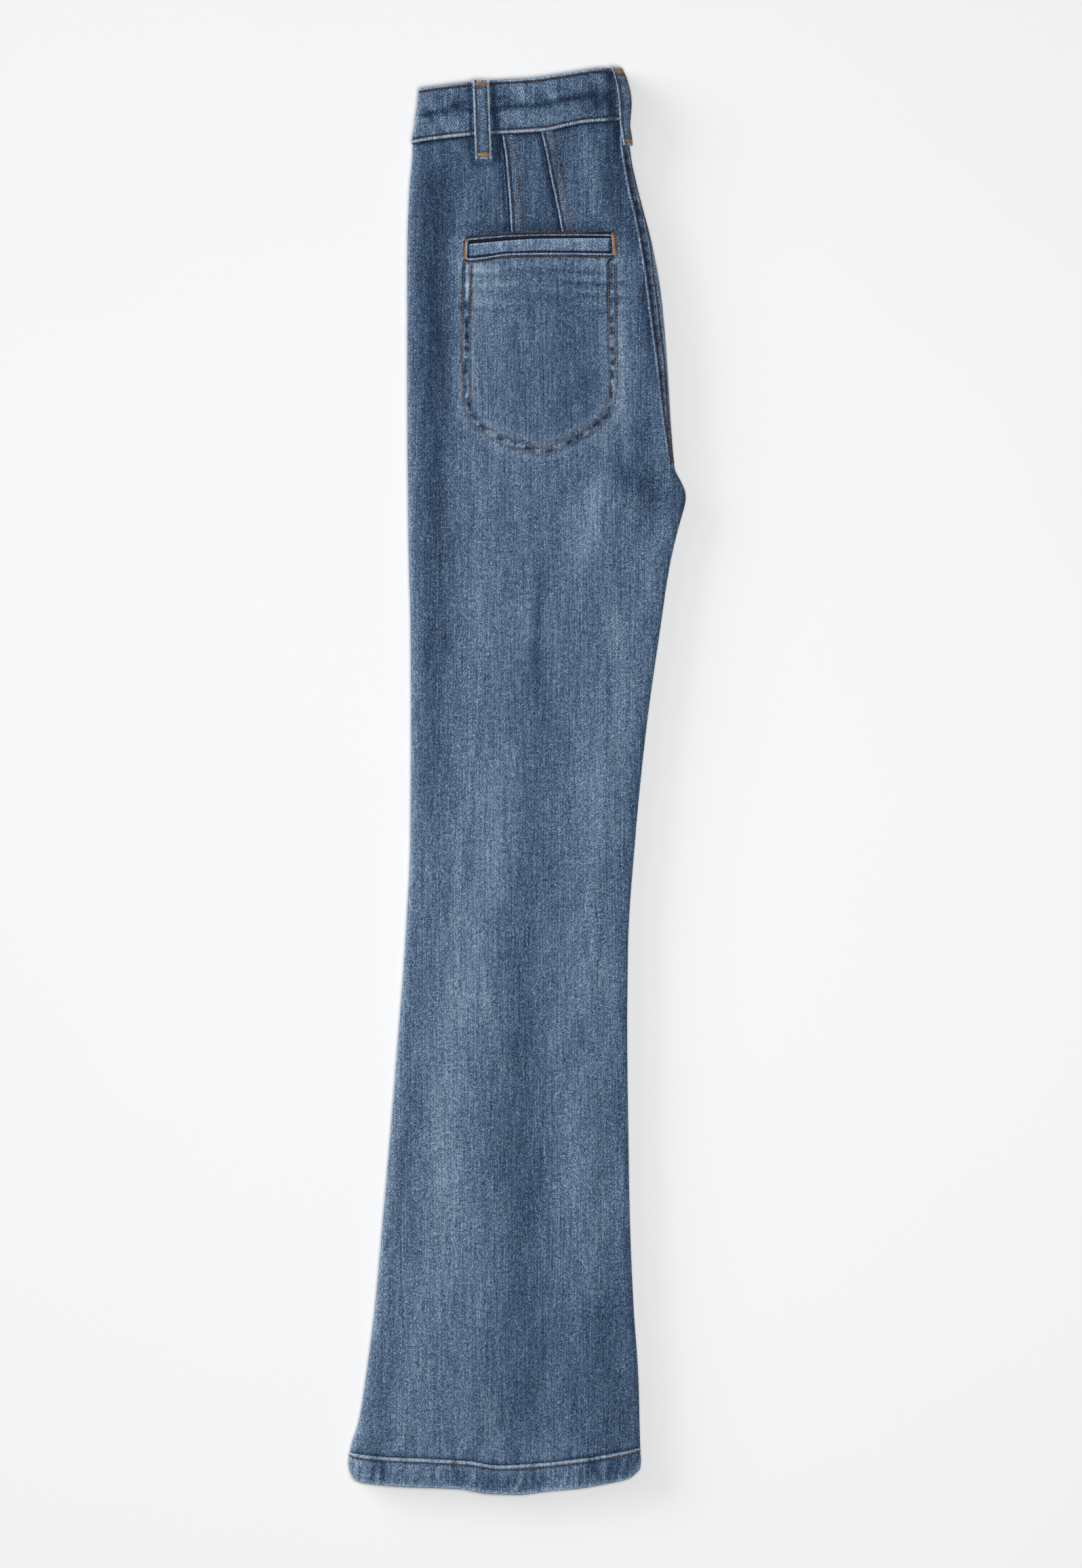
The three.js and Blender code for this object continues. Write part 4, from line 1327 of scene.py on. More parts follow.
LEFT, RIGHT, FRONTS = "left_back_panel_cloth", "right_back_panel_cloth", "front_panels_cloth"
BACK_BAND = "waistband_back_cloth"
CUTS = {name: Cut(*rest) for name, *rest in (
    (LEFT, Cloth.PANEL, "denim", ("left_back_panel",), (0.30, 1.16), 0.68, (FRONTS,)),
    (RIGHT, Cloth.PANEL, "denim", ("right_back_panel",), (0.30, 1.16), 0.68, ()),
    (FRONTS, Cloth.EDGES, "denim_edges", ("front_panels",), (0.28, 1.16), 0.66, (RIGHT,)),
    ("pocket_bag_cloth", Cloth.POCKET, "pocket_cloth", ("pocket_bag",), (0.131, 0.19), 0.9, (FRONTS,)),
    ("pocket_frame", Cloth.TRIM, "denim_trim", (), (0.268, 0.0105), 0.6, (LEFT,)),
    ("pocket_welt_cloth", Cloth.TRIM, "denim_trim", ("pocket_welt",), (0.12, 0.016), 0.98,
     ("pocket_bag_cloth",)),
    ("dart_outer", Cloth.TRIM, "denim", (), (0.011, 0.09), 0.9, (LEFT,)),
    ("dart_inner", Cloth.TRIM, "denim", (), (0.011, 0.09), 0.9, (LEFT,)),
    ("seat_seam", Cloth.TRIM, "denim_trim", (), (0.012, 0.33), 0.85, (LEFT,)),
    (BACK_BAND, Cloth.BAND, "waistband_denim", ("waistband_back",), (0.36, 0.052), 0.85, (FRONTS,)),
    ("waistband_front_cloth", Cloth.BAND, "waistband_denim", ("waistband_front",), (0.36, 0.052), 0.85,
     (FRONTS,)),
    ("belt_loop_side_cloth", Cloth.TRIM, "denim_trim", ("belt_loop_side",), (0.0146, 0.072), 0.95,
     (BACK_BAND,)),
    ("belt_loop_centre_cloth", Cloth.TRIM, "denim_trim", ("belt_loop_centre",), (0.0158, 0.072), 0.95,
     (BACK_BAND,)),
    ("hem_left_cloth", Cloth.HEM, "hem_denim", ("hem_left",), (0.50, 0.052), 0.55, (RIGHT,)),
    ("hem_right_cloth", Cloth.HEM, "hem_denim", ("hem_right",), (0.50, 0.052), 0.55, (RIGHT,)),
)}


def declare(piece: bpy.types.Object) -> None:
    """Hides the parts of the solids that a cloth piece stands for.

    Args:
        piece: The piece, which has a row in the table of cuts.
    """
    cut = CUTS[piece.name]
    if cut.nodes:
        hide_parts(*cut.nodes)


def walled(name: str, outer: Array, inner: Array, tone: Array, **how: Any) -> None:
    """Makes a cloth piece that is one closed wall between two grids.

    Args:
        name: Its name in the table of cuts.
        outer: Grid of places on its outside.
        inner: Grid on its inside.
        tone: Tone of the outside's places.
        how: What else Piece.wall is told.
    """
    piece = Piece(name)
    piece.wall(outer, inner, tone, **how)
    declare(piece.make(CUTS[name].cloth.value))


def limited(tone: Array, lowest: float = -TONE_LIMIT) -> Array:
    """Tone kept between the darkest and the palest that look like cloth."""
    return np.clip(tone, lowest, TONE_LIMIT)


def stepped(*bands: Pair) -> Array:
    """Row heights from the hem to the waist, in bands given by their end and the step within them.

    Args:
        bands: Pairs of an end and a step.

    Returns:
        The heights.
    """
    start, parts = STACK.first, []
    for end, step in bands:
        parts.append(np.arange(start, end, step))
        start = end
    return np.concatenate([*parts, [STACK.last]])


def folds(rows: Rows, x: Array, y: Array) -> Array:
    """Height of the largest folds, which die out at the edges as in the solids."""
    inner = np.minimum(x - rows.left - STACK.edge, rows.right - STACK.strip - x)
    return strokes(FOLDS, x, y, FOLD_FADE) * smooth_step(0, 18, inner)


def section(profile: Sequence[Profile], at: Array) -> list[Array]:
    """Height and tone of a cross-section at distances across it, each as one column."""
    table = np.array(profile)
    return [np.interp(at, table[:, 0], table[:, k])[:, None] for k in (1, 2)]


def grid_normals(grid: Array) -> Array:
    """Unit normals at the places of a grid."""
    normals = np.cross(np.gradient(grid, axis=1), np.gradient(grid, axis=0))
    return normals / np.maximum(np.linalg.norm(normals, axis=2, keepdims=True), 1e-9)


def nearest(values: Array, value: float) -> int:
    """Number of the entry that comes nearest to a value."""
    return int(np.argmin(np.abs(values - value)))


@dataclass
class LeftBackPanel:
    """The panel that faces up, from the outseam over the top to the inseam or the seat seam."""

    columns: int = 160
    left_steps: int = 9
    right_steps: int = 15
    flat_steps: int = 10
    # The inside has every 13th column of the outside, but every second one of the last 24
    inner_step: int = 13
    fine_end: int = 24
    clear: int = 4
    clear_by: float = 1.0
    crowds: tuple[Triple, ...] = ((1.1, 0.225, 0.03), (0.9, 0.853, 0.045))
    fine: tuple[Waves, ...] = (Waves(0.16, 34, 5, 2.2), Waves(0.07, 11, 6, 1.6))
    mottle: tuple[Waves, ...] = (Waves(0.05, 40, 9, 3.0), Waves(0.04, 17, 10, 2.5))
    cutter_ends: Pair = (4.0, 22.0)
    clear_of_left: Pair = (0, 12)  # where the creases come in from the outseam
    clear_of_right: Pair = (0, 10)
    crease_limits: Pair = (-0.85, 3)
    seat_shade: Pair = (235, 300)
    waist_shade: Pair = (430, 480)
    crotch_up: Pair = (232, 300)
    shade: float = -0.15
    hem_span: Pair = (-140, 242)  # left end and width of the hem, as its puckers see it
    hem_reach: Pair = (16, 120)  # how fast its puckers die out, and how far they go
    waist_span: Pair = (-86, 176)
    waist_reach: Pair = (9, 70)
    bag_reach: float = 26
    bag_top: Pair = (376, 392)  # where the bag's rows get darker
    blot_fade: float = 1.5
    frame_reach: float = 34
    frame_low: float = 437
    frame_fade: float = 13
    bag: Line = field(default_factory=lambda: Line(BAG_ROW, 1.5))
    window: Line = field(default_factory=lambda: Line(WINDOW, 1.5, True))
    surface: Surface | None = None

    def across(self) -> Array:
        """Shares across the level part, closer together at the two sides of the pocket bag."""
        f = np.linspace(0, 1, 401)
        crowd = 1 + sum(more * bell(f - at, width, 4) for more, at, width in self.crowds)
        total = np.cumsum(crowd) - crowd[0]
        return np.interp(np.linspace(0, 1, self.columns, endpoint=False), total / total[-1], f)

    def sheet(self, s: Array, depth: Array | None = None) -> Array:
        """The panel's outside, let down by depth.

        Args:
            s: Row heights.
            depth: How far in from the plain outside each place lies, or None for the plain outside.

        Returns:
            The grid of places.
        """
        rows = STACK.body(s)
        degrees = np.linspace(180, 90, self.left_steps, endpoint=False)[None]
        shares = STACK.round_to(STACK.panel_end(s), self.right_steps, self.flat_steps)
        if depth is None:
            depth = np.zeros((len(s), self.left_steps + self.columns + shares.shape[1]))
        left, level, right = np.split(depth, [self.left_steps, self.left_steps + self.columns], axis=1)
        quarter = rows.height / 4
        return np.concatenate([
            STACK.over_left(rows, 3 * quarter, quarter, degrees, left),
            rows.place(STACK.level_x(rows, self.across()[None]), rows.height - level),
            STACK.over_right(rows, shares, right),
        ], axis=1)

    def relief(self, s: Array, x: Array, y: Array) -> tuple[Array, Array]:
        """All that stands up or sinks in on the panel, and its tone.

        Args:
            s: Row heights.
            x: Places across.
            y: Places along.

        Returns:
            The height over the plain outside, and the tone.
        """
        rows = STACK.body(s)
        inside = smooth_step(*self.clear_of_left, x - rows.left)
        inside = inside * smooth_step(*self.clear_of_right, rows.right - x)
        creases = strokes(CREASES, x, y)
        pulls = strokes(PULLS, x, y, PULL_FADE)
        small = np.clip(creases * 0.8 + pulls * 0.5 + waves(self.fine, x, y), *self.crease_limits)
        height = folds(rows, x, y) + small * inside
        tone = strokes(WASH_AND_SHADE, x, y, WASH_AND_SHADE_FADE) + strokes(CONTACT_SHADOWS, x, y, CONTACT_SHADOW_FADE)
        tone = tone + 0.1 * creases + 0.8 * pulls + waves(self.mottle, x, y) + self.shade
        tone = tone - 0.1 * smooth_step(*self.seat_shade, y) - 0.12 * smooth_step(*self.waist_shade, y)
        # The outseam fold is painted pale, partly for wear and partly as painted highlight where its round
        # faces the lamps; the inseam edge is painted darker, a painted shade where it turns away from them
        inseam = mix(-0.3, -0.2, smooth_step(*self.crotch_up, y))
        tone = tone + rows.edge_wear_and_shade(x, (0.38, 5.5), (inseam, 8.0))
        for add in (self.near_hem, self.near_waist, self.pocket_bag, self.pocket_frame):
            rise, shade = add(x, y)
            height = height + rise
            tone = tone + shade
        return height, limited(tone)

    def near_hem(self, x: Array, y: Array) -> tuple[Array, Array]:
        """Puckers that the hem's stitching draws up into the leg.

        Args:
            x: Places across.
            y: Places along.

        Returns:
            The height over the plain outside, and the tone.
        """
        left, width = self.hem_span
        above = y - Smooth(HEM_TOP)(np.clip((x - left) / width, 0, 1))
        wave = dying(above, *self.hem_reach) * ripple(x, 0.35 * y, 13, 21)
        return 0.28 * wave, 0.2 * wave - 0.16 * bell(above, 1.6)

    def near_waist(self, x: Array, y: Array) -> tuple[Array, Array]:
        """The shadowed edge under the waistband, and the small puckers there.

        Args:
            x: Places across.
            y: Places along.

        Returns:
            The height over the plain outside, and the tone.
        """
        left, width = self.waist_span
        below = Smooth(BAND_BOTTOM)(np.clip((x - left) / width, 0, 1)) - y
        wave = dying(below, *self.waist_reach) * ripple(x, 0.2 * y, 10, 23)
        shade = -0.85 * bell(below, 1.8) - 0.16 * bell(below, 6.0)
        return 0.2 * wave - 0.3 * bell(below, 1.4), 0.1 * wave + shade

    def pocket_bag(self, x: Array, y: Array) -> tuple[Array, Array]:
        """The pocket bag behind the panel: two sewn rows with drawn-up cloth between and a worn halo.

        Args:
            x: Places across.
            y: Places along.

        Returns:
            The height over the plain outside, and the tone.
        """
        away, run = self.bag.measure(x, y, self.bag_reach)
        middle = away + BAG_ROWS_APART / 2
        between = bell(middle, 2.0)
        rows = bell(away, 1.0) + bell(away + BAG_ROWS_APART, 1.0)
        high = smooth_step(*self.bag_top, y)
        pulls = 1.05 * np.clip(-strokes(BLOTS, x, y, self.blot_fade), 0, 1.3)
        rope = ripple(run, 0 * run, 9, 32) + 0.9 * ripple(x, y, 3.4, 33)
        halo = bell(np.abs(middle) - 6.5, 4.5) * (np.abs(away) < 40)
        inner = smooth_step(5, 14, -away) * (np.abs(away) < 25)
        height = 0.34 * between * (0.5 + 0.5 * rope) - 0.25 * pulls - 0.42 * rows + 0.1 * inner
        # The dark along the two rows is painted shade in their grooves
        tone = between * (0.4 + 0.2 * rope) - pulls - (0.4 + 1.2 * high) * rows + 0.24 * halo
        return height, tone

    def pocket_frame(self, x: Array, y: Array) -> tuple[Array, Array]:
        """The drawn-up cloth round the pocket's opening.

        Args:
            x: Places across.
            y: Places along.

        Returns:
            The height over the plain outside, and the tone.
        """
        away, _ = self.window.measure(x, y, self.frame_reach)
        outside = np.maximum(-away, 0)
        near = (np.abs(away) < 60) * 1.0
        below = near * smooth_step(0, 5, self.frame_low - y) * np.exp(-outside / self.frame_fade)
        flutes = 0.7 * ripple(x, 0.25 * y, 8, 41) + 0.7 * ripple(x, 0.2 * y, 4.6, 43)
        return 0.34 * below * flutes, 0.2 * bell(outside - 9, 5) * near + below * (0.36 * flutes + 0.1)

    def build(self) -> None:
        """Makes the panel and keeps its outside for what is sewn on it."""
        s = stepped((226, 3.5), (266, 2.0), (302, 1.3), (425, 1.9), (STACK.last - 0.5, 1.15))
        plain = self.sheet(s)
        x, y = plain[..., 0], plain[..., 1]
        height, tone = self.relief(s, x, y)
        outer = self.sheet(s, -height)
        self.surface = Surface(outer)
        width = plain.shape[1]
        fine = width - self.fine_end
        keep = sorted({*range(0, fine, self.inner_step), *range(fine, width, 2), width - 1})
        # The hidden inside lies a little lower across the level part, clear of the creases
        level = np.zeros(width)
        level[self.left_steps + self.clear:self.left_steps + self.columns - self.clear] = self.clear_by
        inner = self.sheet(s, STACK.cloth - folds(STACK.body(s), x, y) + level)[:, keep]
        piece = Piece(LEFT)
        piece.wall(outer, inner, tone, keep=keep)
        panel = piece.make(CUTS[LEFT].cloth.value)
        self.cut_window(panel)
        declare(panel)

    def cut_window(self, panel: bpy.types.Object) -> None:
        """Cuts the pocket's opening through the panel.

        Args:
            panel: The panel.
        """
        edge = np.array(WINDOW)
        n = len(edge)
        ring = [np.column_stack([edge, np.full(n, z)]) for z in self.cutter_ends]
        mesh = bpy.data.meshes.new("window_cutter")
        mesh.from_pydata((np.vstack(ring) * MM).tolist(), [], closed_faces(2, n))
        if signed_volume(mesh) < 0:
            mesh.flip_normals()
        cutter = placed("window_cutter", mesh)
        cut = panel.modifiers.new("window", "BOOLEAN")
        cut.operation = "DIFFERENCE"
        cut.solver = "MANIFOLD"
        cut.object = cutter
        apply_modifiers(panel)
        bpy.data.objects.remove(cutter)
        bpy.data.meshes.remove(mesh)


def apply_modifiers(piece: bpy.types.Object) -> None:
    """Replaces a piece's mesh by what its modifiers make of it.

    Args:
        piece: The piece.
    """
    view = bpy.context.evaluated_depsgraph_get()
    changed = piece.evaluated_get(view)
    made = bpy.data.meshes.new_from_object(changed, preserve_all_data_layers=True, depsgraph=view)
    old = piece.data
    piece.modifiers.clear()
    piece.data = made
    made.name = old.name
    bpy.data.meshes.remove(old)


@dataclass
class HiddenPanels:
    """The right back panel on the surface, and the two front panels in the fold between."""

    left_steps: int = 8
    level_steps: int = 30
    lap: float = STACK.cloth + STACK.gap  # how deep the fronts lie under the back panels
    slack: float = 0.25
    turn: float = 6.0  # degrees by which the bare groove opens past the level
    overlap: float = 0.012
    closing: Pair = (229.0, 238.0)  # where the groove closes, at the crotch
    closed_at: Pair = (0.47, 0.53)
    round_steps: int = 30
    flat_steps: int = 6
    groove_steps: int = 25
    hidden_steps: int = 10
    hidden_flat: int = 3
    bare_edge: float = 0.0005
    front_dip: float = 2.2  # how much deeper the fronts lie under the window
    s: Array = field(default_factory=lambda: stepped((222, 5.0), (262, 2.0), (STACK.last - 1, 5.0)))

    def right_back(self) -> None:
        """Makes the right back panel, which turns up round the centre back fold."""
        s = self.s
        rows = STACK.body(s)
        quarter = rows.height / 4
        degrees = np.linspace(180, 270, self.left_steps, endpoint=False)[None]
        f = np.linspace(0, 1, self.level_steps, endpoint=False)[None]
        shares = 1 - STACK.round_to(1 - STACK.under_end(s), self.round_steps, self.flat_steps)
        flat = self.left_steps + self.level_steps

        def sheet(depth: Array) -> Array:
            """The panel's outside, let in by depth.

            Args:
                depth: How far in from the outside each place lies.

            Returns:
                The places.
            """
            left, level, right = np.split(depth, [self.left_steps, flat], axis=1)
            return np.concatenate([
                STACK.over_left(rows, quarter, quarter, degrees, left),
                rows.place(STACK.level_x(rows, f), level),
                STACK.over_right(rows, shares, right),
            ], axis=1)

        plain = sheet(np.zeros((len(s), flat + shares.shape[1])))
        x, y, z = (plain[..., k] for k in range(3))
        height = smooth_step(1.5, 4, z) * 0.1 * ripple(z, y, 14, 61)
        tone = rows.edge_wear_and_shade(x, (0.45, 2.2), (0.35, 2.2)) + 0.1 * ripple(x, y, 30, 62, 2.5)
        tone = tone - 0.2 * smooth_step(*UPPER_SHADE, y)
        walled(RIGHT, sheet(-height), sheet(np.full(height.shape, STACK.cloth)), tone)

    def fronts(self) -> None:
        """Makes the front panels, bare in the grooves at both edges and plain where they are hidden."""
        s = self.s
        rows = STACK.body(s)
        quarter = rows.height / 4
        lap, turn, hidden = self.lap, self.turn, self.lap + self.slack
        closing = smooth_step(*self.closing, s)[:, None]
        near = np.where(closing == 1, self.closed_at[0], (STACK.panel_end(s) + self.overlap)[:, None])
        under = np.maximum((STACK.under_end(s) - self.overlap)[:, None], near + 0.004)
        far = np.where(closing == 1, self.closed_at[1], under)
        f = np.linspace(0, 1, self.hidden_steps)[None]
        steps = self.hidden_steps, self.hidden_flat

        def edge(middle: Array, start: float, end: float, depth: float, count: int) -> Array:
            """Part of one leg's folded left edge."""
            degrees = np.linspace(start, end, count)[None]
            return STACK.over_left(rows, middle, quarter, degrees, np.full((1, 1), depth))

        covered = np.full((1, 1), lap)
        groove = np.linspace(0, 1, self.groove_steps)[None]
        bare = mix(near + self.bare_edge, far - self.bare_edge, groove)
        loop = np.concatenate([
            edge(3 * quarter, 270, 180 + turn, 0.0, 9),
            edge(3 * quarter, 180 + turn - 0.2, 95, lap, 8),
            rows.place(STACK.level_x(rows, f), rows.height - hidden - self.front_dip),
            STACK.over_right(rows, STACK.round_to(near[:, 0], *steps), covered),
            STACK.over_right(rows, bare, lap * closing),
            STACK.over_right(rows, 1 - STACK.round_to(1 - far[:, 0], *steps)[:, ::-1], covered),
            rows.place(STACK.level_x(rows, f[:, ::-1]), hidden + 0 * rows.height),
            edge(quarter, 265, 180 - turn + 0.2, lap, 8),
            edge(quarter, 180 - turn, 90, 0.0, 9)[:, :-1],
        ], axis=1)
        piece = Piece(FRONTS)
        tone = rows.edge_wear_and_shade(loop[..., 0], (0.3, 2), (0.3, 2)) - 0.15
        piece.add(loop, closed_faces(*loop.shape[:2]), tone)
        declare(piece.make(CUTS[FRONTS].cloth.value))


@dataclass
class Pocket:
    """The welt pocket: its bag, its welt, its stitched frame and the rows that hold the bag."""

    surface: Surface
    bag_depth: float = 2.5
    bag_cloth: float = 0.8
    bag_top: float = 456.0
    bag_grid: tuple[int, int] = (66, 40)
    welt_cloth: float = 1.5
    welt_drop: float = 0.12
    tack_lift: float = 0.35
    tack_width: float = 2.5
    row: Seam = Seam(0.12, 2.7, 0.84, 0.36)
    frame_row: Seam = Seam(0.15, 2.5, 0.96, 0.55)
    columns: int = 110
    # Across the frame from the opening's edge: the darkest marks, at that edge and by the outer row, are
    # painted shade of the opening and of the row's groove
    frame_profile: tuple[Profile, ...] = tuple(Profile(*row) for row in (
        (-0.25, -1.7, -2.4), (-0.14, 0.06, -2.4), (0.3, 0.12, -2.2), (0.6, 0.35, -1.2), (0.9, 0.55, 0.35),
        (1.4, 0.6, 0.6), (1.9, 0.45, 0.35), (2.3, 0.15, -0.9), (2.9, 0.1, -1.8), (3.6, 0.1, -1.6),
        (4.3, 0.12, -0.4), (5.4, -0.2, 0),
    ))
    # From the welt's top edge, at 0, down to its bottom edge, at 1; the darkest marks at both edges are
    # painted shade of the gaps beside the welt
    welt_profile: tuple[Profile, ...] = tuple(Profile(*row) for row in (
        (-0.02, -1.1, -2), (0, -0.35, -0.5), (0.03, 0.05, 0.4), (0.07, 0.16, 0.35), (0.14, 0.1, 0.1),
        (0.24, 0.04, 0), (0.36, 0.02, -0.05), (0.5, 0.02, -0.1), (0.64, 0, -0.1), (0.78, -0.05, -0.1),
        (0.86, -0.1, -0.15), (0.91, -0.3, -1.2), (1, -0.5, -2.4), (1.08, -0.6, -2.4),
    ))
    tacks: tuple[tuple[Pair, Pair], ...] = (((-42.2, 449.6), (-44.2, 433.0)), ((78.9, 454.6), (81.0, 436.0)))

    def bag(self) -> None:
        """Makes the pocket bag, which lies flat behind the panel and shows as the dark gap over the welt."""
        low = int(np.argmin([y for _, y in BAG_ROW]))
        sides = [Smooth([(y, x) for x, y in rows]) for rows in (BAG_ROW[low::-1], BAG_ROW[low:])]
        y = np.linspace(BAG_ROW[low][1] + 0.5, self.bag_top, self.bag_grid[0])[:, None]
        x = mix(sides[0](y), sides[1](y), np.linspace(0, 1, self.bag_grid[1])[None])
        under = STACK.body(y[:, 0]).height - self.bag_depth + strokes(FOLDS, x, y, FOLD_FADE)
        outer = np.stack([x, y + 0 * x, under], axis=-1)
        walled("pocket_bag_cloth", outer, outer - np.array([0, 0, self.bag_cloth]), 0 * x, plan=True)

    def build(self) -> None:
        """Makes the bag, frame and welt, and sews the rows."""
        self.bag()
        ribbon("pocket_frame", Line(WINDOW, 1.2, True), self.frame_profile, self.surface)
        self.welt()
        for line in (FRAME_ROW, FRAME_TOP_ROW):
            BROWN_ROWS.along(Line(line), self.surface, self.frame_row)
        for shift in (0.0, -BAG_ROWS_APART):
            TAN_ROWS.along(Line(BAG_ROW).shifted(shift), self.surface, self.row)
        for tack in self.tacks:
            ends, normals = self.surface.drop(np.array(tack))
            start, end = ends + normals * self.tack_lift
            TACKS.tack(start, end, normals[0], self.tack_width)

    def welt(self) -> None:
        """Makes the welt, folded over along its top edge and tucked under the frame at its ends."""
        share = np.linspace(0, 1, self.columns)
        top, low = (Line(row).at_shares(share) for row in (WELT_TOP, WELT_BOTTOM))
        down, rise, shade = (column[:, None] for column in np.array(self.welt_profile).T)
        plan = top[None] + (low - top)[None] * down[..., None]
        drop, _ = self.surface.drop(plan.reshape(-1, 2))
        outer = drop.reshape(len(down), len(share), 3)
        inner = outer - np.array([0, 0, self.welt_cloth])
        x, y = outer[..., 0].copy(), outer[..., 1].copy()
        outer[..., 2] += rise - self.welt_drop + 0.1 * ripple(x, y, 18, 71) * (down > 0.05)
        # Painted shade in the gaps at the welt's two ends, where it goes under the frame
        ends = bell(x - x.min(), 1.5, 4) + bell(x.max() - x, 2.9, 4)
        tone = shade + 0.12 * ripple(x, y * 0.3, 16, 72) + 0.12 - 1.1 * ends
        walled("pocket_welt_cloth", outer, inner, tone)


def ribbon(name: str, line: Line, profile: Sequence[Profile], surface: Surface) -> None:
    """Lays a sewn edge along a line on the panel, whose wash and painted shade show on it too.

    Args:
        name: Name of the piece.
        line: Where it runs.
        profile: Its cross-section, measured to the left of travel.
        surface: What it lies on.
    """
    at, rise, shade = np.array(profile).T
    count = len(line.points) - line.closed
    plan = line.points[:count, None] - line.sides[:count, None] * at[None, :, None]
    drop, _ = surface.drop(plan.reshape(-1, 2))
    grid = drop.reshape(*plan.shape[:2], 3)
    run = line.run[:count]
    wave = 1 + 0.22 * ripple(run, 0 * run, 7, len(name))[:, None]
    up = np.array([0.0, 0.0, 1.0])
    top = grid + (rise * wave)[..., None] * up
    under = grid + (np.minimum(rise, 0) - 0.7)[None, :, None] * up
    wash_and_shade = strokes(WASH_AND_SHADE, grid[..., 0], grid[..., 1], RIBBON_FADE)
    wash_and_shade = wash_and_shade - 0.2 * smooth_step(*UPPER_SHADE, grid[..., 1])
    tone = limited(shade[None] * (0.85 + 0.15 * wave) + 0.6 * wash_and_shade, DEEPEST_SHADE_TONE)
    if line.closed:
        # Rows run across the ribbon here, so that each ring closes along the line
        top, under, tone = top.transpose(1, 0, 2), under.transpose(1, 0, 2), tone.T
    walled(name, top, under, tone, ring=line.closed, plan=True)


@dataclass
class Darts:
    """Two waist darts, pressed to the side, each sewn down with two rows."""

    surface: Surface
    # Across a dart, measured from its fold: the darkest marks are painted shade in the crease left of the
    # fold and in the grooves of its two rows
    profile: tuple[Profile, ...] = tuple(Profile(*row) for row in (
        (-2.2, -0.25, -0.6), (-1.7, 0.1, -0.9), (-1.1, 0.12, -2), (-0.3, 0.15, -2.4), (0.05, 0.5, -0.3),
        (0.5, 0.85, 0.65), (1.1, 0.9, 0.65), (1.6, 0.6, 0.1), (2.1, 0.25, -1), (2.7, 0.15, -1.7),
        (3.3, 0.35, -0.9), (4, 0.55, -0.15), (5.6, 0.55, -0.15), (7.2, 0.4, -0.05), (8.1, 0.22, -0.3),
        (8.8, 0.1, -1.1), (9.3, 0.1, -0.4), (9.8, -0.25, 0.1),
    ))
    fold_row: float = -2.7
    low_row: float = -8.8

    def build(self) -> None:
        """Makes both darts."""
        for name, points in zip(("dart_outer", "dart_inner"), DARTS):
            line = Line(points)
            ribbon(name, line, self.profile, self.surface)
            for shift, lift, rows in ((self.fold_row, 0.2, BROWN_ROWS), (self.low_row, 0.05, TAN_ROWS)):
                rows.along(line.shifted(shift), self.surface, Seam(lift, 2.7, 0.88, 0.38))


@dataclass
class SeatSeam:
    """The felled centre back seam, which comes over the fold from the waist down to the crotch."""

    first: float = 250.0
    last: float = 536.0
    sewn_from: float = 262.0
    step: float = 1.5
    stand: float = 0.45
    fade: Pair = (252.0, 275.0)  # where it rises out of the cloth
    least: Pair = (1.6, 0.9)  # least inset of its outer row, and from there to its inner row
    inside: float = 0.5
    seam: Seam = Seam(0.0, 2.7, 0.84, 0.4)

    def build(self) -> None:
        """Makes the raised seam and sews its rows."""
        s = np.arange(self.first, self.last, self.step)
        rows = STACK.body(s)
        ys = rows.line(np.ones((1, 1)))[:, 0]
        line = Smooth([(y, x) for x, y in reversed(SEAT_ROW)])
        first = np.maximum(rows.right[:, 0] - line(ys), self.least[0])
        second = np.minimum(Smooth(SEAT_INSET)(ys), first - self.least[1])
        end = Smooth(SEAM_INSET)(s)
        # Each mark across the seam: how far in from the fold's tip, how high and what tone; the darkest
        # tones, at the two rows, are painted shade in their grooves
        marks = (
            (first + 2.5, -0.3, -0.6), (first + 2.0, 0.3, 0.1), (first + 1.3, 0.6, 0.55),
            (first + 0.7, 0.4, 0.2), (first + 0.2, 0.1, -1.8), (first - 0.4, 0.2, -1.4),
            (mix(first, second, 0.3), 0.5, -0.4),
            (mix(first, second, 0.6), 0.6, -0.2), (second + 0.9, 0.65, 0.5), (second + 0.45, 0.4, 0.2),
            (second, 0.15, -1.9), (second - 0.45, 0.3, -0.9), (end + 0.05, 0.4, 0.1),
        )
        places, rise, shade = zip(*marks)
        number = np.arange(len(marks))
        inset = np.minimum.accumulate(np.column_stack(places), axis=1)
        share = STACK.share_inside(np.maximum(inset - number * 0.004, end[:, None] + 0.01))
        fade = smooth_step(*self.fade, s)[:, None]
        wave = ripple(s, 0 * s, 8, 81)[:, None]
        lift = np.array(rise) * fade * (1 + 0.25 * wave) - 0.25 * (1 - fade)
        blots = spots(s, 11, 2.6, 82)[:, None] * bell(number - 6.0, 1.6)
        tone = np.array(shade) * fade + 0.15 * wave - 0.2 - 1.0 * blots
        walled("seat_seam", STACK.over_right(rows, share, -lift),
               STACK.over_right(rows, share, np.full(share.shape, self.inside)), limited(tone, DEEPEST_SHADE_TONE))
        keep = s > self.sewn_from
        rows = STACK.body(s[keep])
        for which in (first, second):
            share = STACK.share_inside(which[keep, None])
            path, out = (STACK.over_right(rows, share, np.full(share.shape, -stand))[:, 0]
                         for stand in (self.stand, self.stand + 0.85))
            BROWN_ROWS.row(path, out - path, self.seam)


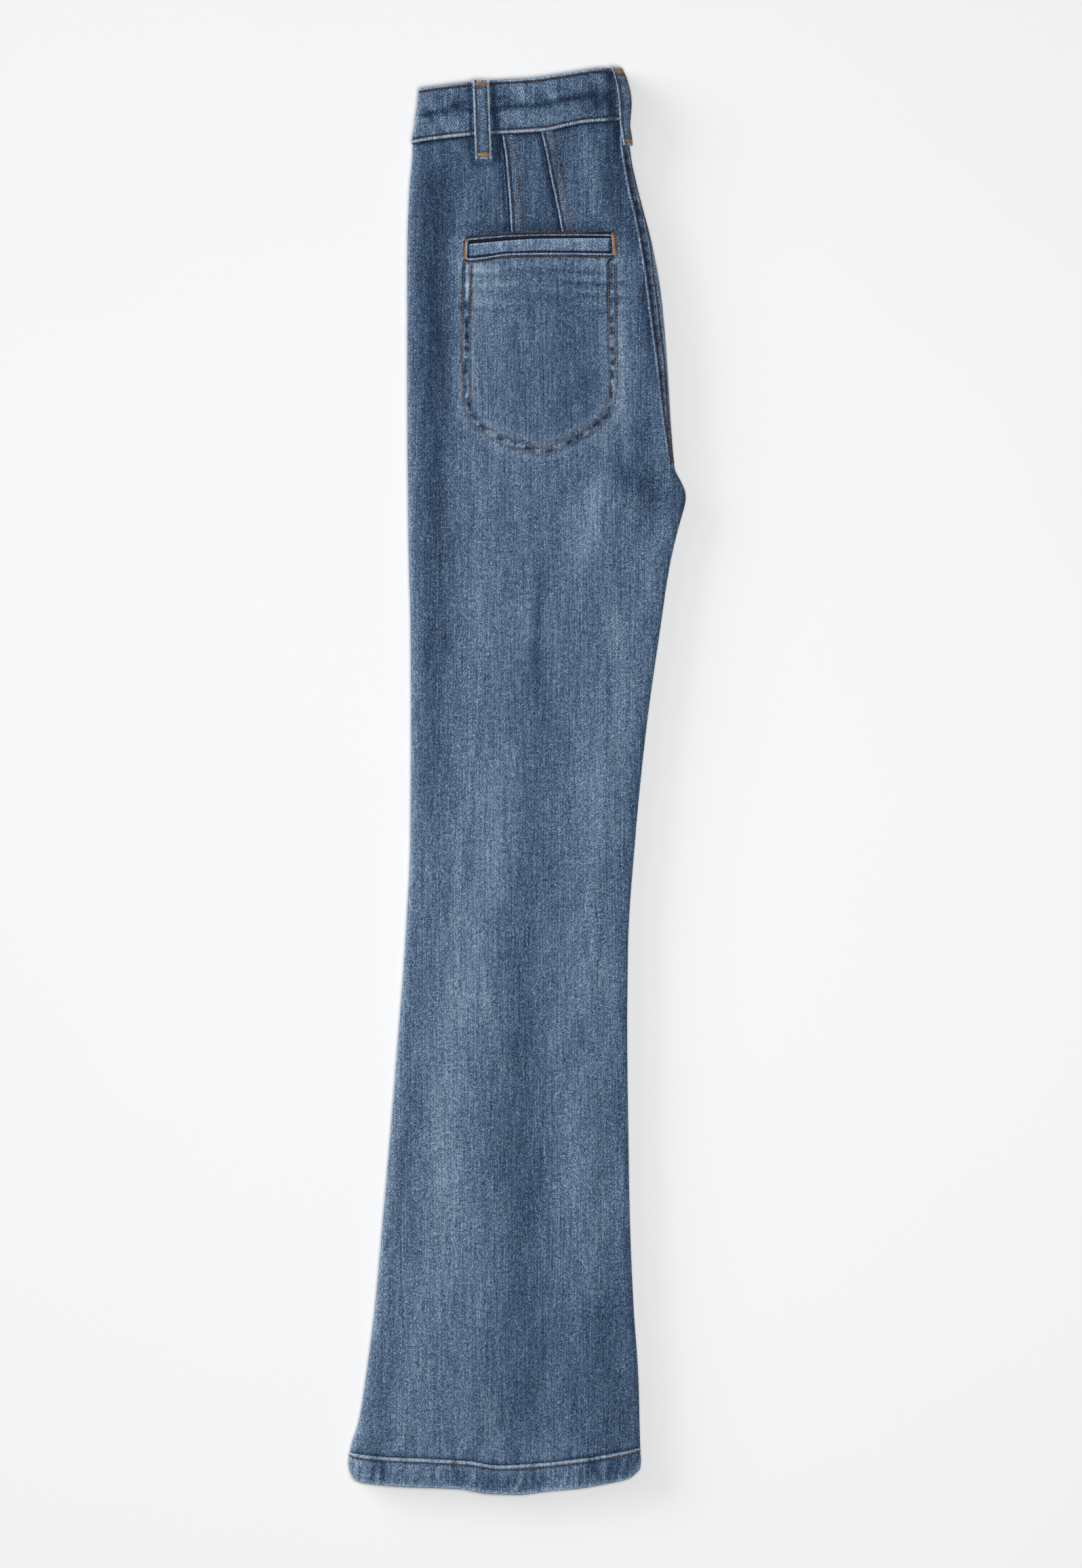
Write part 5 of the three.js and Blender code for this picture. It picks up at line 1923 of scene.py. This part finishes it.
@dataclass
class Waistband:
    """The waistband: its back half outside the fold, its front half within."""

    depth: float = 43.0
    profile: tuple[Profile, ...] = tuple(Profile(*row) for row in (
        (0, -1.3, -0.8), (0.12, -0.55, 0.1), (0.5, 0.1, 0.7), (1.2, 0.42, 0.85), (2.1, 0.36, 0.75),
        (2.7, 0.05, 0), (3.1, -0.25, -1.2), (3.9, -0.22, -1.2), (4.5, -0.05, -0.2), (6, 0, 0),
        (12, 0, 0.05), (17, 0, 0.02), (21.5, -0.05, -0.22), (26, 0, 0.02), (34, 0, 0.02), (38.6, 0, -0.05),
        (39.8, -0.1, -0.8), (40.4, -0.22, -1.2), (40.9, -0.12, -0.9), (41.5, 0, 0.55), (42.3, -0.12, 0.85),
        (42.8, -0.55, 0.5), (43, -1.3, -0.3),
    ))
    # How far the inside is drawn in at the rounded edges
    rounding: tuple[tuple[float, ...], ...] = ((0, 0.12, 0.6, 42.5, 42.9, 43), (1.35, 0.5, 0, 0, 0.5, 1.35))
    # Dark and light strokes on the band; the long dark ones beside the two belt loops are painted shadows of
    # the loops
    tone_strokes: tuple[Stroke, ...] = tuple(Stroke(*row) for row in (
        (-76, 553.5, -60, 555.5, 2.6, -0.8), (-54, 560, -44, 562.5, 2.6, -0.9),
        (-42.5, 557, -38, 556, 2.6, -0.9), (-20, 557, 6, 561, 2.4, -0.7), (-20, 567, -12, 566, 3.2, -0.5),
        (10, 559, 34, 564, 2.8, -0.6), (38, 566, 62, 569, 3, -0.65), (64, 562, 78, 566, 4, -0.5),
        (76, 592, 79, 540, 4.6, -1.3), (60, 576, 66, 556, 8, -0.3), (24, 553, 70, 560, 5, -0.2),
        (-40.5, 578, -38, 534, 2.2, -0.9), (-20.5, 580, -18, 538, 2.8, -0.9), (-58, 536, -44, 538, 3, 0.25),
        (-78, 572, -50, 573, 3, 0.2), (-10, 574, 22, 577, 4, 0.12), (-66, 566, -60, 570, 5, -0.25),
        (30, 575, 44, 578, 5, -0.2), (-70, 544, -48, 545, 4, 0.2), (0, 549, 36, 551, 3, 0.16),
    ))
    side_steps: int = 6
    top_steps: int = 120
    turn_steps: int = 36
    under_steps: int = 24
    between: Triple = (5.0, 39.0, 1.6)  # first and last row between the profile's places, and the step
    tone_stroke_fade: float = 3.5
    low: float = 3.0  # height under which nothing stands out, so that the band lies flat
    lifts: Pair = (0.1, -0.65)  # how far the rows stand off above that height and below it
    front_share: float = 0.985  # the front half is a little less deep
    sewn_at: Pair = (3.45, 40.4)
    sewn_columns: tuple[int, int] = (2, 176)
    seam: Seam = Seam(0.0, 2.5, 0.94, 0.5)

    def loop(self, rows: Rows, depth: Array, back: bool) -> Array:
        """One half of the band, from its upper side fold over the top, round the fold and back beneath.

        Args:
            rows: The band's sections.
            depth: How far in from the half's outside each place lies.
            back: Whether this is the outer half.

        Returns:
            The grid of places.
        """
        steps = np.cumsum([self.side_steps, self.top_steps, self.turn_steps, self.under_steps])
        cut = np.split(depth, steps, axis=1)
        middle = rows.height - STACK.band_cloth - STACK.gap / 2
        reach = rows.height - middle
        tip, level = (178, 90) if back else (184, 270)
        base = 0.0 if back else STACK.band_cloth + STACK.gap
        degrees = np.linspace(tip, level, self.side_steps, endpoint=False)[None]

        def side(angles: Array, skin: Array, under: bool) -> Array:
            """The half's side fold, over or under.

            Args:
                angles: Where round the fold the places lie, in degrees.
                skin: How far in from the outside they lie.
                under: Whether it is the lower fold.

            Returns:
                The places.
            """
            a = np.radians(angles)
            inset = skin if back else STACK.band_cloth - skin
            x = rows.left + STACK.edge + (STACK.edge - inset) * np.cos(a)
            z = middle + (reach - inset) * np.sin(a)
            return rows.place(x, rows.height - z if under else z)

        f, g = (np.linspace(0, 1, n, endpoint=False)[None] for n in (self.top_steps, self.under_steps))
        over = STACK.round_to(np.full(len(rows.height), 0.5), 14, 4)
        turn = np.hstack([over, 1 - over[:, -2::-1]])[:, :self.turn_steps]
        return np.concatenate([
            side(degrees, cut[0], False),
            rows.place(STACK.level_x(rows, f), rows.height - base - cut[1]),
            STACK.over_right(rows, turn, base + cut[2]),
            rows.place(STACK.level_x(rows, 1 - g), base + cut[3]),
            side(np.append(degrees[:, ::-1], [[tip]], axis=1)[:, -self.side_steps:], cut[4], True),
        ], axis=1)

    def half(self, back: bool) -> None:
        """Makes one half of the band.

        Args:
            back: Whether to make the outer half, which is sewn.
        """
        extra = np.arange(*self.between)
        share = np.unique(np.concatenate([[p.at for p in self.profile], extra])) / self.depth
        rows = STACK.band(share if back else share * self.front_share)
        width = 2 * self.side_steps + self.top_steps + self.turn_steps + self.under_steps
        plain = self.loop(rows, np.zeros((len(share), width)), back)
        x, y, z = (plain[..., k] for k in range(3))
        at = share * self.depth
        rise, shade = section(self.profile, at)
        middle = np.sin(np.pi * share)[:, None]
        pucker = ripple(x + z * 0.7 + 0.5 * y, y * 0.3, 11, 91) * middle
        fine = ripple(x, y, 24, 92) * middle
        height = rise + 0.12 * pucker + 0.12 * fine
        height = np.where(z < self.low, np.minimum(height, -0.03), height)
        tone = shade + strokes(self.tone_strokes, x, y, self.tone_stroke_fade) * (z > 6)
        tone = tone + 0.2 * pucker + 0.12 * fine - 0.06 + rows.edge_wear_and_shade(x, (0.4, 2), (0, 1))
        edge = np.interp(at, *self.rounding)[:, None]
        outer = self.loop(rows, -height, back)
        inner = self.loop(rows, STACK.band_cloth - edge + 0 * x, back)
        walled(BACK_BAND if back else "waistband_front_cloth", outer, inner, limited(tone))
        if back:
            self.sew(outer, at)

    def sew(self, outer: Array, at: Array) -> None:
        """Sews the rows along the band's two edges, round the fold too.

        Args:
            outer: Grid of places on the band's outside.
            at: Distance of each of its rows from the bottom edge.
        """
        normals = grid_normals(outer)
        sewn = slice(*self.sewn_columns)
        for i in (nearest(at, place) for place in self.sewn_at):
            sign = 1 if normals[i, self.top_steps // 2, 2] > 0 else -1
            path, up = outer[i, sewn], normals[i, sewn] * sign
            lift = np.where(path[:, 2:] > self.low, *self.lifts)
            BROWN_ROWS.row(path + up * lift, up, self.seam)

    def build(self) -> None:
        """Makes both halves."""
        self.half(True)
        self.half(False)


@dataclass
class BeltLoops:
    """The two belt loops that show: one at the side back and one over the centre back fold."""

    surface: Surface
    width: float = 13.6
    cloth: float = 1.9
    lift: float = 1.9
    steps: int = 84
    top: Pair = (-30.6, 581.4)
    low: Pair = (-28.2, 515.8)
    centre_ends: Pair = (592.2, 527.4)
    # From one edge of a loop, at -1, to its middle, at 0
    across: tuple[Profile, ...] = tuple(Profile(*row) for row in (
        (-1, -1, 0), (-0.985, -0.45, 0.3), (-0.94, -0.06, 0.8), (-0.86, 0.06, 0.7), (-0.78, 0, 0.2),
        (-0.68, -0.16, -1), (-0.6, -0.22, -1.2), (-0.52, -0.1, -0.6), (-0.38, 0.02, -0.15), (0, 0.08, -0.1),
    ))
    seam: Seam = Seam(0.08, 2.6, 0.84, 0.38)
    length: float = 66.0
    last_on_panel: float = 533.0  # the height at which the panel goes under the band
    side_share: float = 0.32  # where the side loop crosses the band's bottom edge
    step_up: Pair = (13.0, 1.0)  # from how far under that edge to how far it climbs onto the band
    over_band: float = 0.25
    body_off: float = 0.7  # how far the centre loop lies off the body
    centre_stand: float = 0.15
    centre_insets: tuple[tuple[float, ...], ...] = ((527, 560, 592), (5.9, 7.0, 7.6))
    centre_end: float = 0.475
    tack_lift: float = 0.3
    tack_width: float = 2.9
    sewn_at: Pair = (-0.62, 0.62)
    tacked: Pair = (-0.7, 0.7)

    def profile(self) -> Array:
        """The whole cross-section, edge to edge."""
        half = np.array(self.across)
        return np.vstack([half, half[-2::-1] * np.array([-1, 1, 1])])

    def make(self, name: str, build: Callable[[Array, Array, Array], tuple[Array, Array, Array]]) -> None:
        """Makes one loop and sews it.

        Args:
            name: Name of the piece.
            build: Gives the outside, the inside and the mottle for the shares along the loop, for how
                far it stands off there, and for how thick its cross-section is.
        """
        profile = self.profile()
        f = np.linspace(0, 1, self.steps)
        # Rounding and tone near the turned ends
        end = np.minimum(f, 1 - f) * self.length
        drop = np.interp(end, [0, 0.25, 0.8], [0.9, 0.35, 0])
        shade = np.interp(end, [0, 0.3, 1.2, 2.0, 6.2, 7.2], [0.2, 0.8, 0.8, 0.0, 0.0, 0.0])
        shade = shade - 0.5 * bell(end - 6.6, 0.8)
        stand = STACK.gap + self.lift * np.sin(np.pi * np.minimum(1, f * 1.25)) ** 2
        thick = self.cloth + profile[None, :, 1] - drop[:, None]
        outer, inner, mottle = build(f, stand, thick)
        walled(name, outer, inner, limited(profile[None, :, 2] + shade[:, None] + mottle))
        self.sew(outer, profile)

    def side(self, f: Array, stand: Array, thick: Array) -> tuple[Array, Array, Array]:
        """The loop at the side back, as make asks.

        Args:
            f: Shares along the loop.
            stand: How far it stands off there.
            thick: How thick its cross-section is.

        Returns:
            Its outside, its inside and its mottle.
        """
        profile = self.profile()
        middle = np.column_stack([mix(self.top[k], self.low[k], f) for k in (0, 1)])
        under = np.minimum(middle[:, 1], self.last_on_panel)
        on_panel, _ = self.surface.drop(np.column_stack([middle[:, 0], under]))
        low = float(Smooth(BAND_BOTTOM)(self.side_share))
        on_band = smooth_step(low - self.step_up[0], low - self.step_up[1], middle[:, 1])
        base = (mix(on_panel[:, 2] + 0.1, STACK.band_height + self.over_band, on_band) + stand)[:, None]
        x = middle[:, :1] + profile[None, :, 0] * self.width / 2
        y = middle[:, 1:] + 0 * x
        wave = 0.07 * ripple(x, y, 9, 101) * (np.abs(profile[:, 0]) < 0.9)
        outer = np.stack([x, y, base + thick + wave], -1)
        return outer, np.stack([x, y, base + 0 * x], -1), 0.1 * ripple(x, y, 12, 102)

    def centre(self, f: Array, stand: Array, thick: Array) -> tuple[Array, Array, Array]:
        """The loop that lies over the centre back fold, as make asks.

        Args:
            f: Shares along the loop.
            stand: How far it stands off there.
            thick: How thick its cross-section is.

        Returns:
            Its outside, its inside and its mottle.
        """
        top = self.centre_ends[0]
        y = mix(*self.centre_ends, f)
        low = float(Smooth(BAND_BOTTOM)(1.0))
        band = STACK.band(np.clip((y - low) / (top - low), 0, 1))
        body = STACK.body(np.clip(y - 10, 400, STACK.last))
        on_band = smooth_step(low - 14, low - 1, y)[:, None]
        right = mix(body.right + self.body_off, band.right, on_band)
        height = mix(body.height + self.body_off, band.height, on_band)
        rows = Rows(band.left, right, height, np.ones_like(right), lambda u: y[:, None] + 0 * u)
        first = STACK.share_inside(np.interp(y, *self.centre_insets))[:, None]
        share = first + (self.centre_end - first) * (self.profile()[None, :, 0] + 1) / 2
        base = stand[:, None] + self.centre_stand
        mottle = 0.1 * ripple(share * 40, y[:, None], 12, 103) - 0.4 * spots(y, 16, 2.0, 104)[:, None]
        outer = STACK.over_right(rows, share, -(base + thick))
        return outer, STACK.over_right(rows, share, -base + 0 * share), mottle

    def sew(self, outer: Array, profile: Array) -> None:
        """Sews a loop's two rows and its two tacks.

        Args:
            outer: Grid of places on the loop's outside.
            profile: Its cross-section.
        """
        normals = grid_normals(outer)
        if normals[self.steps // 2, len(profile) // 2, 2] < 0:
            normals = -normals
        sewn = slice(6, -6)
        for at in self.sewn_at:
            j = nearest(profile[:, 0], at)
            BROWN_ROWS.row(outer[sewn, j], normals[sewn, j], self.seam)
        a, b = (nearest(profile[:, 0], at) for at in self.tacked)
        for i in (4, len(outer) - 6):
            bar = outer[i, a:b + 1] + normals[i, a:b + 1] * self.tack_lift
            for k, (start, end) in enumerate(zip(bar, bar[1:])):
                if np.linalg.norm(end - start) > 0.25:
                    TACKS.tack(start, end, normals[i, a + k], self.tack_width)

    def build(self) -> None:
        """Makes both loops."""
        self.make("belt_loop_side_cloth", self.side)
        self.make("belt_loop_centre_cloth", self.centre)


@dataclass
class Hem:
    """The turned-up hem of one leg, a flattened ring with a row of stitching."""

    upper: bool
    depth: float = 25.0
    stitch_at: float = 20.8
    tone_strokes: tuple[Stroke, ...] = tuple(Stroke(*row) for row in (
        (-117, -560, -115, -568, 3.4, -0.6), (-136, -563, -128, -575, 5, 0.45),
        (-100, -566, -90, -572, 6, 0.2), (-52, -562, -49, -578, 2.2, -0.4), (12, -566, 15, -584, 2.5, -0.4),
        (60, -560, 63, -572, 4.5, -0.5), (-82, -574, -70, -576, 5, 0.2), (-8, -572, -2, -584, 4, 0.2),
    ))
    profile: tuple[Profile, ...] = tuple(Profile(*row) for row in (
        (0, -1.05, -0.6), (0.12, -0.5, 0.2), (0.5, -0.1, 0.7), (1.2, 0.05, 0.75), (2.2, 0.05, 0.35),
        (4, 0, 0.05), (8, 0, -0.05), (14, 0, -0.05), (18.5, 0, 0.05), (19.8, -0.08, -0.25),
        (20.8, -0.25, -0.85), (21.5, -0.05, -0.1), (22.2, 0.28, 0.75), (23.2, 0.34, 0.85), (24.1, 0.2, 0.5),
        (24.7, -0.15, -0.4), (25, -0.7, -0.9),
    ))
    rounding: tuple[tuple[float, ...], ...] = ((0, 0.12, 0.6, 24.5, 25), (1.1, 0.5, 0, 0, 0.6))
    turn_steps: int = 16
    top_steps: int = 160
    under_steps: int = 60
    between: Triple = (3, 20, 1.1)  # first and last row between the profile's places, and the step
    tone_stroke_fade: float = 4.0
    inseam_shade: Pair = (45, 90)
    # The first sewn column, and the last of the upper and the lower hem
    sewn_ends: tuple[int, int, int] = (4, 188, 14)
    seam: Seam = Seam(0.1, 2.8, 0.92, 0.42)

    def ring(self, rows: Rows, depth: Array) -> Array:
        """The ring's sections, let in by depth, from its lower left over the top and back.

        Args:
            rows: The sections.
            depth: How far in from the outside each place lies.

        Returns:
            The grid of places.
        """
        cut = np.split(depth, np.cumsum([self.turn_steps, self.top_steps, self.turn_steps]), axis=1)
        half = rows.height / 4 - STACK.gap / 4
        middle = rows.height - half if self.upper else half
        low, high = rows.left + STACK.edge, rows.right - STACK.edge

        def spread(start: float, end: float, count: int) -> Array:
            """A row of evenly spread values, without the last."""
            return np.linspace(start, end, count, endpoint=False)[None]

        x = mix(low, high, spread(0, 1, self.top_steps))
        a = np.radians(spread(90, -90, self.turn_steps))
        swell = folds(rows, x, rows.place(x, 0 * x)[..., 1]) if self.upper else 0
        return np.concatenate([
            STACK.over_left(rows, middle, half, spread(270, 90, self.turn_steps), cut[0]),
            rows.place(x, middle + half - cut[1] + swell),
            rows.place(high + (STACK.edge - cut[2]) * np.cos(a), middle + (half - cut[2]) * np.sin(a)),
            rows.place(mix(high, low, spread(0, 1, self.under_steps)), middle - half + cut[3]),
        ], axis=1)

    def build(self) -> None:
        """Makes the hem and sews it."""
        at = np.unique(np.concatenate([[p.at for p in self.profile], np.arange(*self.between)]))
        rows = STACK.hem(at / self.depth)
        plain = self.ring(rows, np.zeros((len(at), 2 * self.turn_steps + self.top_steps + self.under_steps)))
        x, y = plain[..., 0], plain[..., 1]
        rise, shade = section(self.profile, at)
        body = bell(at - 10.5, 8.0, 4)[:, None]
        slant = x - 0.22 * (at[:, None] - 10) + 1.2 * ripple(x, y, 22, 110)
        roping = ripple(slant, 0.12 * y, 9.5, 111 + self.upper)
        marks = spots(slant, 9, 1.9, 113 + self.upper)
        light = spots(slant, 12, 2.0, 115 + self.upper)
        tone_strokes = strokes(self.tone_strokes, x, y, self.tone_stroke_fade) if self.upper else 0
        height = rise + body * (0.25 * roping - 0.25 * marks)
        tone = shade + tone_strokes - 0.3 * smooth_step(*self.inseam_shade, x) + rows.edge_wear_and_shade(x, (0.3, 2), (0.3, 2))
        tone = tone + body * (0.14 * roping - 0.6 * marks + 0.35 * light) + 0.02
        thick = STACK.hem_cloth - np.interp(at, *self.rounding)[:, None]
        # The side that faces down stays plain, and so does what lies under the upper hem
        over_middle = plain[..., 2] - rows.height * (0.75 if self.upper else 0.25)
        over = smooth_step(-2.6, 0.5, over_middle)
        if not self.upper:
            over = 0.6 * over * (1 - smooth_step(1, 2.5, over_middle))
        outer = self.ring(rows, -height * over)
        inner = self.ring(rows, thick + 0 * x)
        name = "hem_left_cloth" if self.upper else "hem_right_cloth"
        walled(name, outer, inner, limited(tone), ring=True)
        sewn = slice(self.sewn_ends[0], self.sewn_ends[1 if self.upper else 2])
        i = nearest(at, self.stitch_at)
        path, up = outer[i, sewn], grid_normals(outer)[i, sewn]
        turned = up[self.top_steps // 2, 2] < 0 if self.upper else up[5, 0] > 0
        BROWN_ROWS.row(path, -up if turned else up, self.seam)


@dataclass
class Studio:
    """The pale surface, the soft light and the camera straight above."""

    centre: Pair = (19.4, -2.3)
    height: float = 1301.1  # of the view, in mm
    distance: float = 6.0
    focus_height: float = 0.012
    film: float = 36.0
    half_floor: float = 6.0
    floor_z: float = -0.0002
    lights: tuple[Lamp, ...] = (
        Lamp("low_light", (-6.87, 3.67, 1.73), (6.0, 2.1), 508),
        Lamp("side_light", (-4.48, 2.39, 3.18), (4.0, 2.55), 39),
        Lamp("top_light", (0.26, -0.16, 3.6), (1.3, 1.3), 108),
    )
    sky: float = 0.1

    def floor(self) -> None:
        """Makes the surface that the jeans lie on."""
        mesh = bpy.data.meshes.new("surface")
        r = self.half_floor
        mesh.from_pydata([(-r, -r, 0), (r, -r, 0), (r, r, 0), (-r, r, 0)], [], [(0, 1, 2, 3)])
        plane = placed("surface", mesh)
        plane.location.z = self.floor_z
        mesh.materials.append(Plain("pale_surface", (236, 236, 236), (238, 238, 238), 3.0, 0.8).material())

    def area(self, kind: Lamp) -> None:
        """Hangs one soft light that faces the jeans.

        Args:
            kind: Its place, size and power.
        """
        lamp = bpy.data.lights.new(kind.name, "AREA")
        lamp.shape = "RECTANGLE"
        lamp.size, lamp.size_y = kind.size
        lamp.energy = kind.power
        light = placed(kind.name, lamp)
        light.location = kind.place
        light.rotation_euler = Vector(kind.place).to_track_quat("Z", "Y").to_euler()

    def camera(self) -> None:
        """Sets the camera at the photograph's angle, straight above."""
        data = bpy.data.cameras.new("camera")
        data.sensor_fit = "VERTICAL"
        data.sensor_height = self.film
        data.sensor_width = self.film
        data.lens = self.film * (self.distance - self.focus_height) / (self.height * MM)
        data.clip_end = 50
        data.dof.use_dof = False
        camera = placed("camera", data)
        camera.location = (self.centre[0] * MM, self.centre[1] * MM, self.distance)
        bpy.context.scene.camera = camera

    def build(self) -> None:
        """Makes all of it."""
        self.camera()
        self.floor()
        for kind in self.lights:
            self.area(kind)
        world = bpy.data.worlds.new("studio")
        world.use_nodes = True
        back = world.node_tree.nodes["Background"]
        back.inputs["Color"].default_value = (1, 1, 1, 1)
        back.inputs["Strength"].default_value = self.sky
        bpy.context.scene.world = world
        bpy.context.scene.view_settings.view_transform = "Standard"


def main() -> None:
    """Builds the jeans and the studio."""
    logging.basicConfig(level=logging.INFO, format="%(name)s: %(message)s")
    Studio().build()
    panel = LeftBackPanel()
    panel.build()
    hidden = HiddenPanels()
    hidden.right_back()
    hidden.fronts()
    Pocket(panel.surface).build()
    Darts(panel.surface).build()
    SeatSeam().build()
    Waistband().build()
    BeltLoops(panel.surface).build()
    for upper in (True, False):
        Hem(upper).build()
    for rows in (BROWN_ROWS, TAN_ROWS, TACKS):
        rows.make()


if __name__ == "__main__":
    main()
